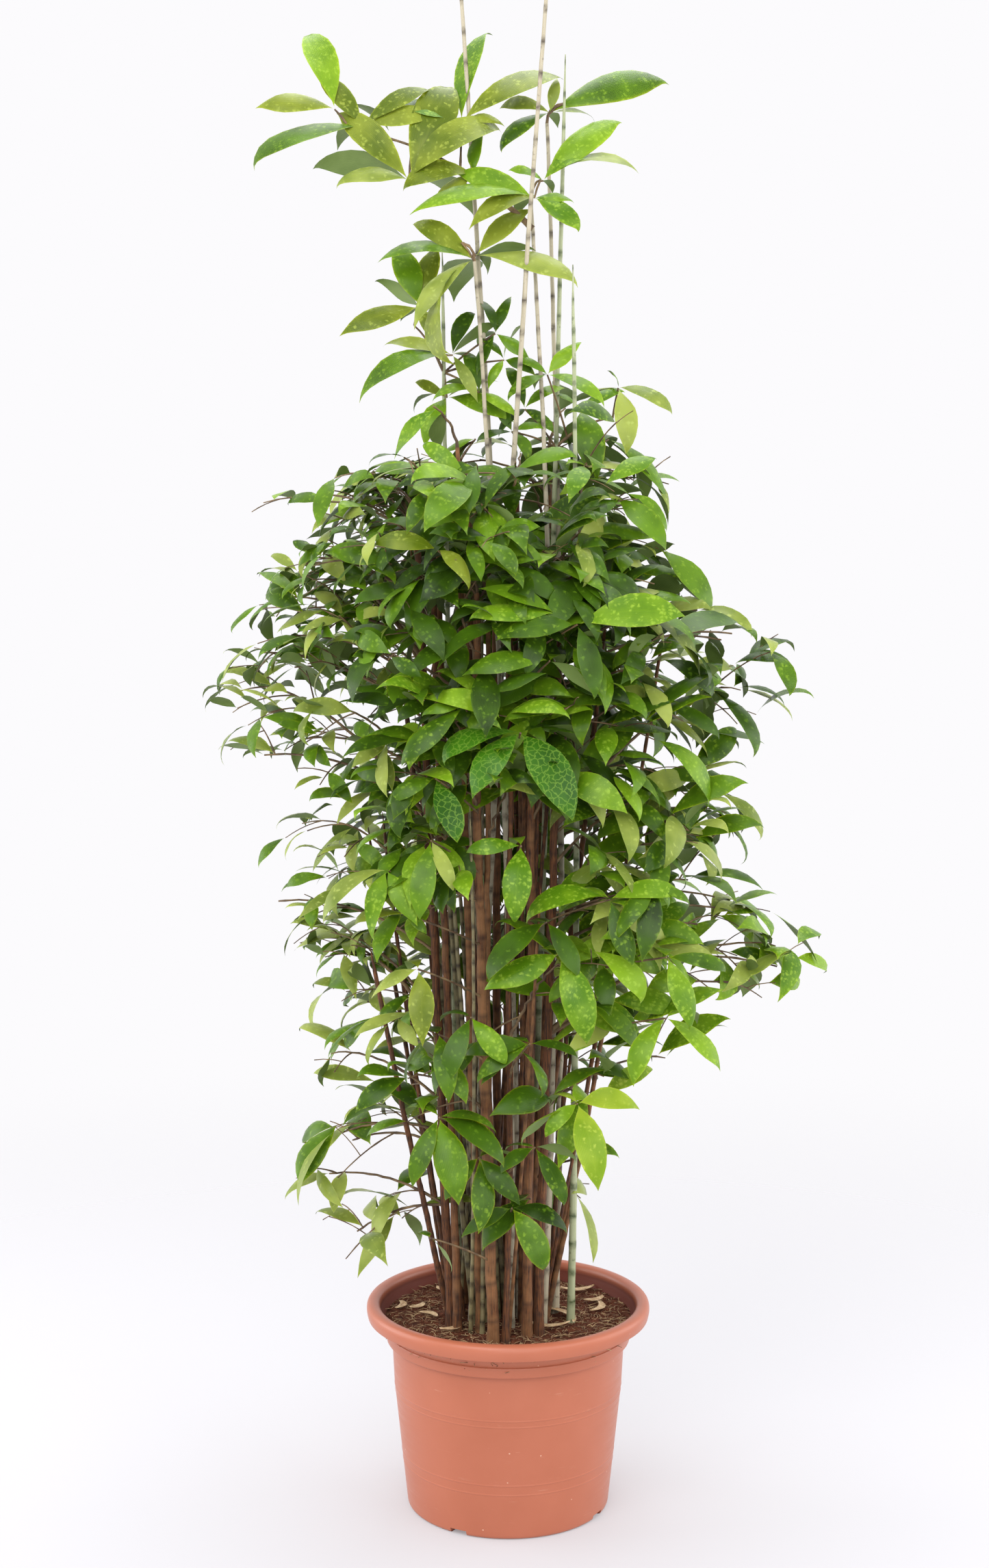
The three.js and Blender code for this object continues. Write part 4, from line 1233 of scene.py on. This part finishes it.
# Short shoots in front of the canes, where single leaves stand out: place, kinds of leaf and leaf tips.
FRONT_WHORLS = [
    ((-36, 1410), "middle deep", [(-76, -28), (44, -40), (-68, 20), (64, 14)]),
    ((-92, 1352), "olive", [(-80, 10), (46, -50)]),
    ((58, 1271), "middle bright", [(-92, 26), (-106, -4)]),
    ((86, 1257), "middle bright deep", [(-100, -22), (128, 2), (28, -84)]),
    ((51, 1211), "middle deep", [(-106, -24), (54, -40)]),
    ((-57, 1153), "middle bright", [(-54, -14), (42, -28), (-74, -70)]),
    ((14, 1119), "netted", [(-102, -34), (-58, -80), (68, -104)]),
    ((-95, 1060), "netted middle", [(22, -76), (-60, -36)]),
    ((15, 972), "bright", [(-8, -100), (-70, -12)]),
    ((130, 902), "bright middle", [(-112, -28), (20, -76), (96, 2)]),
    ((48, 872), "deep", [(-72, -74), (44, -60)]),
    ((66, 831), "bright", [(-92, -46), (44, -108)]),
    ((204, 826), "bright middle", [(24, -88), (76, -20)]),
    ((204, 744), "bright", [(-52, -78), (68, -56)]),
    ((-118, 810), "olive dull", [(12, -84), (-60, -30)]),
    ((-50, 745), "deep bright", [(-30, -78), (44, -60)]),
    ((-92, 722), "deep middle", [(-42, -62), (16, -84)]),
    ((12, 700), "deep middle", [(-44, -38), (32, -58)]),
    ((90, 627), "young young bright", [(20, -102), (-74, -42), (-44, -40), (80, -4)]),
    ((-92, 608), "middle middle deep", [(-32, -80), (74, -14), (84, -56), (30, -100)]),
    ((-40, 552), "deep deep middle", [(-46, -48), (52, -56), (8, -84)]),
    ((34, 566), "deep middle", [(56, -20), (38, -66), (-48, -34)]),
    ((4, 481), "deep middle", [(-66, -28), (50, -72), (76, -30)]),
    ((-105, 440), "middle", [(28, -38)]),
    ((-101, 979), "middle dull", [(-13, -92), (28, -61)]),
    ((-158, 940), "bright dull", [(-23, -79), (-86, -61), (34, -63)]),
    ((-135, 882), "olive middle", [(-67, -11), (31, -21)]),
    ((27, 709), "deep middle", [(-84, -15), (-66, -47), (60, -13)]),
    ((189, 919), "middle deep", [(-51, -68), (-15, -84), (41, -21)]),
]
FRONT_RISE = 60
FRONT_SHARE = 0.8


def tuft_stem(cane, azimuth, reach, climb, at=None, is_long=False):
    limb = tall_limbs[f"tall_cane_{cane}"]
    root = limb.points[-1] if at is None else axis_at(limb, at)
    tip = root + (reach - TUFT_SCALE * SOLID_LEAF) * heading(azimuth) + upright(climb)
    stem = stem_points(root, tip)
    if at is None:
        stem = bent(root, np.array([root[0], root[1], tip[2]]), tip, STEM_STEPS)
    add_stem(stem, is_long)
    return stem


def set_whorl(start, place, kinds, tips, draw):
    """A twig to a whorl whose leaves reach to given places to the right and up, and one at the back."""
    kinds = kinds.split()
    centre = np.array(place, dtype=float)
    knee = (start + centre) / 2 + upright(WHORL_ARCH)
    add_twig(bent(start, knee, centre, TWIG_STEPS), WHORL_GIRTH * TWIG_RADIUS, TWIG_RADIUS)
    for index, (right, up, *turn) in enumerate(tips):
        back = LEAF_LEAN * up
        length = math.hypot(right, back, up)
        facing = math.degrees(math.atan2(back, right))
        pitch = math.degrees(math.asin(up / length))
        tilt = between(WHORL_TILT, draw())
        if draw() < TURNED_OVER:
            tilt = -tilt
        roll = turn[0] if turn else tilt * math.cos(math.radians(facing))
        leaves.append(Leaf(centre, facing, pitch, roll, LEAF_STRETCH * length, kinds[index % len(kinds)]))
    azimuth = between(BACK_LEAF_AZIMUTHS, draw())
    leaves.append(Leaf(centre, azimuth, BACK_LEAF_PITCH, 0, length, kinds[0]))


draw = random_stream(seed=9000)
for name, tuft in TUFTS.items():
    stem = tuft_stem(**tuft)
    for share, *whorl in TUFT_WHORLS[name]:
        set_whorl(stem[round(share * (STEM_STEPS - 1))], *whorl, draw)
for (x, z), kinds, tips in FRONT_WHORLS:
    place = (x, -FRONT_SHARE * crown_reach(270, z), z)
    height = z - FRONT_RISE
    risen = [axis_at(cane, height) for cane in canes if cane.points[-1, 2] > height]
    start = min(risen, key=lambda point: math.dist(point[:2], place[:2]))
    set_whorl(start, place, kinds, tips, draw)

# Twig bark: tan to brown, smooth and dull, with a darker joint at each ring.
twig_material, node, shader = new_material("twig_bark")
place = node("TexCoord").outputs["Object"]
mottle = node("TexNoise", {"Vector": place, "Scale": 1 / (20 * MM), "Detail": 4})
ring = node("Attribute", attribute_name="ring").outputs["Fac"]
tan = node("ValToRGB", {"Fac": mottle}, stops=[(0.35, "#4f3b29"), (0.7, "#8c734e")])
joint = node("Math", {0: ring, 1: 0.6}, operation="MULTIPLY")
jointed = node("Mix", {"Factor": joint, "A": tan, "B": "#3b2b20"}, data_type="RGBA")
relief = node("Bump", {"Height": mottle, "Strength": 0.3, "Distance": 0.4 * MM})
feed(shader, {"Base Color": jointed, "Roughness": 0.65, "Normal": relief})

bough_sizes = {
    "Step": 5 * MM,
    "Sides": 10,
    "Ring spacing": 24 * MM,
    "Ring width": 3 * MM,
    "Ring swell": 0.18,
    "Ridge width": 4 * MM,
    "Ridge length": 16 * MM,
    "Ridge height": 1.0 * MM,
    "Material": twig_material,
}
twig_sizes = {**bough_sizes, "Step": 10 * MM, "Sides": 5, "Ring swell": 0.3, "Ridge height": 0.2 * MM}
long_sprays = [spray["name"] for spray in sprays if spray["long"]] + ["tuft_left"]
bough_mesh = limb_mesh("leafless_boughs", bough_limbs, wobble=0, seed=31, values=bough_sizes)
add_piece("leafless_boughs", bough_mesh, [f"bough_{name}" for name in long_sprays])
twig_mesh = limb_mesh("wiry_twigs", twig_limbs, wobble=0, seed=32, values=twig_sizes)
add_piece("wiry_twigs", twig_mesh)

# Leaves
# Thin leathery blades in pairs and whorls, drawn out to a point, cupped a little and arching over.
# The upper side is glossy and spotted; the underside is dull. Colours go by spray.
LEAF_STATIONS = [0.05, 0.125, 0.225, 0.35, 0.475, 0.6, 0.725, 0.825, 0.9, 0.95]
LEAF_WIDTHS = [0.08, 0.37, 0.7, 0.95, 1.0, 0.89, 0.64, 0.38, 0.18, 0.08]
BLUNT_WIDTHS = [0.08, 0.28, 0.56, 0.84, 0.98, 1.0, 0.86, 0.58, 0.29, 0.12]
LEAF_ACROSS = [-1, -0.45, 0.45, 1]
UNDER_ACROSS = [-0.45, 0.45]
LEAF_STEPS = 40
LEAF_BEND = (40, 96)
TIP_HOOK = (0, 70)
HOOK_FROM = 0.7
LEAF_CUP = (-0.34, 0.12)
LEAF_TWIST = 26
TWIST_FROM = 0.2
LEAF_SWEEP = 0.09
LEAF_WAVE = 1.1
LEAF_THICKNESS = 0.7
UV_SPREAD = 4.0
# Radians of the wave along a leaf's edges, and of the one across its half width that draws the veins,
# coarser than real ones, so that they show.
EDGE_WAVE, VEIN_WAVE = 9, 60
# Each kind's share of width to length, the deep and pale green of its upper side, the colour of its marks
# and how many of its spots show. A netted leaf has none, but a net of pale lines. The deep kind's dark
# green is partly painted shade where it grows in front, and the dull kind's pale grey-green is partly
# painted light for the sides.
LEAF_KINDS = {
    "deep": ((0.28, 0.36), "#213607", "#3d5d0c", "#5f811c", 0.3),
    "middle": ((0.27, 0.36), "#335108", "#597d12", "#7b9c26", 0.45),
    "bright": ((0.28, 0.38), "#4c730c", "#76991c", "#93b236", 0.7),
    "young": ((0.29, 0.37), "#73921a", "#98ad34", "#aebd4a", 0.35),
    "olive": ((0.27, 0.35), "#52640f", "#828f2e", "#9aa844", 0.4),
    "dull": ((0.22, 0.31), "#66792a", "#95a24a", "#a9b65e", 0.25),
    "netted": ((0.34, 0.4), "#254e08", "#3c6c10", "#739632", 0),
}


def leaf_faces():
    """The faces of one leaf: the upper side, then the underside, which shares its edges and both points."""
    columns, inner, rows = len(LEAF_ACROSS), len(UNDER_ACROSS), len(LEAF_STATIONS)
    root = rows * (columns + inner)
    tip = root + 1
    above = [[row * columns + a for a in range(columns)] for row in range(rows)]
    below = []
    for row, edge in enumerate(above):
        start = rows * columns + row * inner
        below.append([edge[0], *range(start, start + inner), edge[-1]])
    upper, under = [], []
    for a in range(columns - 1):
        upper.append((root, above[0][a], above[0][a + 1]))
        upper.append((above[-1][a], tip, above[-1][a + 1]))
        under.append((root, below[0][a + 1], below[0][a]))
        under.append((below[-1][a + 1], tip, below[-1][a]))
        upper += [(low[a], high[a], high[a + 1], low[a + 1]) for low, high in zip(above, above[1:])]
        under += [(low[a], low[a + 1], high[a + 1], high[a]) for low, high in zip(below, below[1:])]
    return upper, under


def turned(first, second, angle):
    """Two coordinates turned by an angle in their plane."""
    return first * np.cos(angle) - second * np.sin(angle), first * np.sin(angle) + second * np.cos(angle)


def leaf_points(rows, width_share, shape):
    """Every leaf's corners at once, with their UVs in metres and their place across the blade."""

    def on_both_sides(stations, ends):
        sides = [np.repeat(stations, len(across)) for across in (LEAF_ACROSS, UNDER_ACROSS)]
        return np.concatenate([*sides, ends])[None, :]

    def spread(low, high):
        return low + (high - low) * shape.random((len(rows), 1))

    roots, facings, pitches, rolls, lengths, _ = zip(*rows)
    s = on_both_sides(LEAF_STATIONS, [0, 1])
    w = on_both_sides(LEAF_WIDTHS, [0, 0])
    blunt_w = on_both_sides(BLUNT_WIDTHS, [0, 0])
    tiled = [np.tile(across, len(LEAF_STATIONS)) for across in (LEAF_ACROSS, UNDER_ACROSS)]
    a = np.concatenate([*tiled, [0, 0]])[None, :]
    under = np.concatenate([0 * tiled[0], np.ones(len(tiled[1])), [0, 0]])[None, :]

    w = w + (blunt_w - w) * spread(0, 1)
    length = np.array(lengths)[:, None]
    half = length * spread(*width_share) / 2
    bend = np.radians(spread(*LEAF_BEND))
    hook = np.radians(spread(*TIP_HOOK))
    phase = spread(0, 2 * math.pi)
    along = np.linspace(0, 1, LEAF_STEPS + 1)[None, :]
    slope = bend * (0.5 - along) - hook * np.clip((along - HOOK_FROM) / (1 - HOOK_FROM), 0, 1) ** 2
    station = np.rint(s[0] * LEAF_STEPS).astype(int)
    turn = slope[:, station]
    forward = length * np.cumsum(np.cos(slope), axis=1)[:, station] / LEAF_STEPS
    rise = length * np.cumsum(np.sin(slope), axis=1)[:, station] / LEAF_STEPS
    aside = half * w * a + LEAF_SWEEP * length * spread(-1, 1) * s**2
    lift = half * w * a**2 * spread(*LEAF_CUP)
    lift = lift + LEAF_WAVE * w * a * np.sin(phase + EDGE_WAVE * s) - LEAF_THICKNESS * under * w
    aside, lift = turned(aside, lift, np.radians(LEAF_TWIST * spread(-1, 1)) * (s - TWIST_FROM))
    x = forward - lift * np.sin(turn)
    z = rise + lift * np.cos(turn)

    azimuth, pitch, roll = (np.radians(turns)[:, None] for turns in (facings, pitches, rolls))
    y, z = turned(aside, z, roll)
    x, z = turned(x, z, pitch)
    x, y = turned(x, y, azimuth)
    corners = (np.stack([x, y, z], axis=2) + np.array(roots)[:, None, :]) * MM
    across, lengthways = half * w * a * MM, length * s * MM
    uvs = np.stack([across + spread(0, UV_SPREAD), lengthways + spread(0, UV_SPREAD)], axis=2)
    ribs = np.repeat(a, len(rows), axis=0)
    return corners.reshape(-1, 3), uvs.reshape(-1, 2).astype(np.float32), ribs.ravel()


def leaf_mesh(name, rows, width_share, seed, materials):
    """Leaves joined in one mesh; their outline is sharp, so that each side is shaded on its own."""
    corners, uvs, ribs = leaf_points(rows, width_share, np.random.default_rng(seed))
    upper, under = leaf_faces()
    size = len(corners) // len(rows)
    leaf = upper + under
    faces = [tuple(size * i + corner for corner in face) for i in range(len(rows)) for face in leaf]
    mesh = new_mesh(name, corners.tolist(), faces)
    for material in materials:
        mesh.materials.append(material)
    sides = np.array([0] * len(upper) + [1] * len(under), dtype=np.int32)
    mesh.polygons.foreach_set("material_index", np.tile(sides, len(rows)))
    corner_of_loop = np.empty(len(mesh.loops), dtype=np.int32)
    mesh.loops.foreach_get("vertex_index", corner_of_loop)
    mesh.uv_layers.new(name="blade").data.foreach_set("uv", uvs[corner_of_loop].ravel())
    mesh.attributes.new("rib", "FLOAT", "POINT").data.foreach_set("value", ribs.astype(np.float32))
    mesh.shade_smooth()
    on_outline = np.abs(ribs) == 1
    for end in (size - 2, size - 1):
        on_outline[end::size] = True
    ends = np.empty(2 * len(mesh.edges), dtype=np.int32)
    mesh.edges.foreach_get("vertices", ends)
    mesh.edges.foreach_set("use_edge_sharp", on_outline[ends].reshape(-1, 2).all(axis=1))
    return mesh


def wavy(node, blade):
    """The blade's own coordinates, shaken a little, so that no mark is quite round or straight."""
    shake = node("TexNoise", {"Vector": blade, "Scale": 1 / (7 * MM), "Detail": 2}).outputs["Color"]
    swing = node("VectorMath", {0: shake, 1: (0.5, 0.5, 0.5)}, operation="SUBTRACT")
    scaled = node("VectorMath", {0: swing, "Scale": 9 * MM}, operation="SCALE")
    return node("VectorMath", {0: blade, 1: scaled}, operation="ADD")


def spot_share(node, blade, spotted):
    """Soft round spots of many sizes, in some of the cells of a pattern."""
    cells = {"Vector": wavy(node, blade), "Scale": 1 / (5.4 * MM)}
    spots = node("TexVoronoi", cells, voronoi_dimensions="2D")
    lot = node("SeparateColor", {"Color": spots.outputs["Color"]}).outputs["Red"]
    reach = node("MapRange", {"Value": lot, **over(1 - spotted, 1, 0.1, 0.75)})
    inside = node("Math", {0: reach, 1: spots.outputs["Distance"]}, operation="SUBTRACT")
    return node("MapRange", {"Value": inside, **over(0, 0.6, 0, 0.7)})


def net_share(node, blade):
    """Pale lines between dark islands."""
    cells = {"Vector": wavy(node, blade), "Scale": 1 / (8.5 * MM)}
    islands = node("TexVoronoi", cells, voronoi_dimensions="2D", feature="DISTANCE_TO_EDGE")
    return node("MapRange", {"Value": islands.outputs["Distance"], **over(0.02, 0.13, 0.55, 0)})


def vein_waves(node, rib):
    """Ups and downs across the blade, one for each lengthways vein."""
    lines = node("Math", {0: rib, 1: VEIN_WAVE}, operation="MULTIPLY")
    return node("Math", {0: lines}, operation="SINE")


def leaf_upper(name, deep, pale, mark, spotted):
    """A glossy upper side: mottled green with pale marks, fine lengthways veins and a faint midrib."""
    material, node, shader = new_material(name)
    blade = node("UVMap", uv_map="blade")
    rib = node("Attribute", attribute_name="rib").outputs["Fac"]
    mottle = node("TexNoise", {"Vector": blade, "Scale": 1 / (45 * MM), "Detail": 3})
    age = node("TexNoise", {"Vector": blade, "Scale": 1 / (420 * MM), "Detail": 0})
    tone = node("Math", {0: mottle, 1: age}, operation="ADD")
    shade = node("MapRange", {"Value": tone, **over(0.78, 1.22, 0, 1)})
    green = node("Mix", {"Factor": shade, "A": deep, "B": pale}, data_type="RGBA")
    marks = spot_share(node, blade, spotted) if spotted else net_share(node, blade)
    marked = node("Mix", {"Factor": marks, "A": green, "B": mark}, data_type="RGBA")
    width = node("Math", {0: rib}, operation="ABSOLUTE")
    midrib = node("MapRange", {"Value": width, **over(0.02, 0.09, 0.14, 0)})
    ribbed = node("Mix", {"Factor": midrib, "A": marked, "B": pale}, data_type="RGBA")
    groove = node("Math", {0: midrib, 1: -6, 2: vein_waves(node, rib)}, operation="MULTIPLY_ADD")
    relief = node("Bump", {"Height": groove, "Strength": 0.14, "Distance": 0.3 * MM})
    feed(shader, {"Base Color": ribbed, "Roughness": 0.3, "Specular IOR Level": 0.2, "Normal": relief})
    glow = {"Subsurface Weight": 0.35, "Subsurface Radius": (1.0, 1.0, 0.3), "Subsurface Scale": 0.8 * MM}
    feed(shader, glow)
    return material


# Underside: the same leathery blade without the gloss, grey-green with fine lengthways veins.
under_material, node, shader = new_material("leaf_underside")
rib = node("Attribute", attribute_name="rib").outputs["Fac"]
blade = node("UVMap", uv_map="blade")
mottle = node("TexNoise", {"Vector": blade, "Scale": 1 / (30 * MM), "Detail": 2})
green = node("Mix", {"Factor": mottle, "A": "#566d2c", "B": "#768a4a"}, data_type="RGBA")
relief = node("Bump", {"Height": vein_waves(node, rib), "Strength": 0.2, "Distance": 0.3 * MM})
feed(shader, {"Base Color": green, "Roughness": 0.55, "Normal": relief})

for kind_index, (kind, (width_share, *look)) in enumerate(LEAF_KINDS.items()):
    rows = [leaf for leaf in leaves if leaf.kind == kind]
    materials = [leaf_upper(f"{kind}_leaf", *look), under_material]
    kind_mesh = leaf_mesh(f"{kind}_leaves", rows, width_share, seed=41 + kind_index, materials=materials)
    nodes = [f"foliage_{spray['name']}" for spray in sprays if spray["kinds"][0] == kind]
    if kind == "olive":
        nodes += [f"foliage_{name}" for name in TUFTS]
    add_piece(f"{kind}_leaves", kind_mesh, nodes)

# Floor and light
# A white studio: a pale floor that fades into the backdrop, a broad soft key light above and in front on
# the left, weaker ones in front, on the right, at both sides and overhead, and the white room itself.
FLOOR_RADIUS = 6.0
FLOOR_SIDES = 96
FLOOR_FADE = (0.5, 2.8)
FLOOR_SHARE = 0.75
BACKDROP = "#fcfbfd"
# Each light's place and size in metres, and its power in watts.
LIGHTS = {
    "left_wall": ((-2.4, 0.3, 1.1), 2.0, 36),
    "right_wall": ((2.4, 0.3, 1.1), 2.0, 24),
    "key": ((-1.1, -2.6, 3.3), 2.4, 68),
    "front": ((0.5, -3.5, 1.3), 2.0, 26),
    "fill": ((2.4, -1.9, 2.2), 2.2, 26),
    "top": ((0.2, 0.9, 3.9), 2.0, 46),
}
LIGHT_AIM = Vector((0, 0, 1.1))

angles = np.linspace(0, 2 * math.pi, FLOOR_SIDES, endpoint=False)
floor_edge = [(FLOOR_RADIUS * math.cos(t), FLOOR_RADIUS * math.sin(t), 0) for t in angles]
floor_mesh = new_mesh("studio_floor", floor_edge, [tuple(range(FLOOR_SIDES))])
floor_material, node, shader = new_material("white_floor")
place = node("TexCoord").outputs["Object"]
distance = node("VectorMath", {0: place}, operation="LENGTH").outputs["Value"]
fade = {"Value": distance, **over(*FLOOR_FADE, FLOOR_SHARE, 0)}
share = node("MapRange", fade, interpolation_type="SMOOTHSTEP")
feed(shader, {"Base Color": "#c6c5c9", "Roughness": 0.8, "Alpha": share})
floor_mesh.materials.append(floor_material)
add_object("studio_floor", floor_mesh)

for light_name, (place, size, power) in LIGHTS.items():
    lamp = add_object(light_name, bpy.data.lights.new(light_name, "AREA"))
    lamp.data.size = size
    lamp.data.energy = power
    lamp.location = place
    lamp.rotation_euler = (LIGHT_AIM - Vector(place)).to_track_quat("-Z", "Y").to_euler()

room = bpy.data.worlds.new("white_room")
room.use_nodes = True
feed(room.node_tree.nodes["Background"], {"Color": BACKDROP, "Strength": 1.0})
bpy.context.scene.world = room
bpy.context.scene.view_settings.view_transform = "Standard"
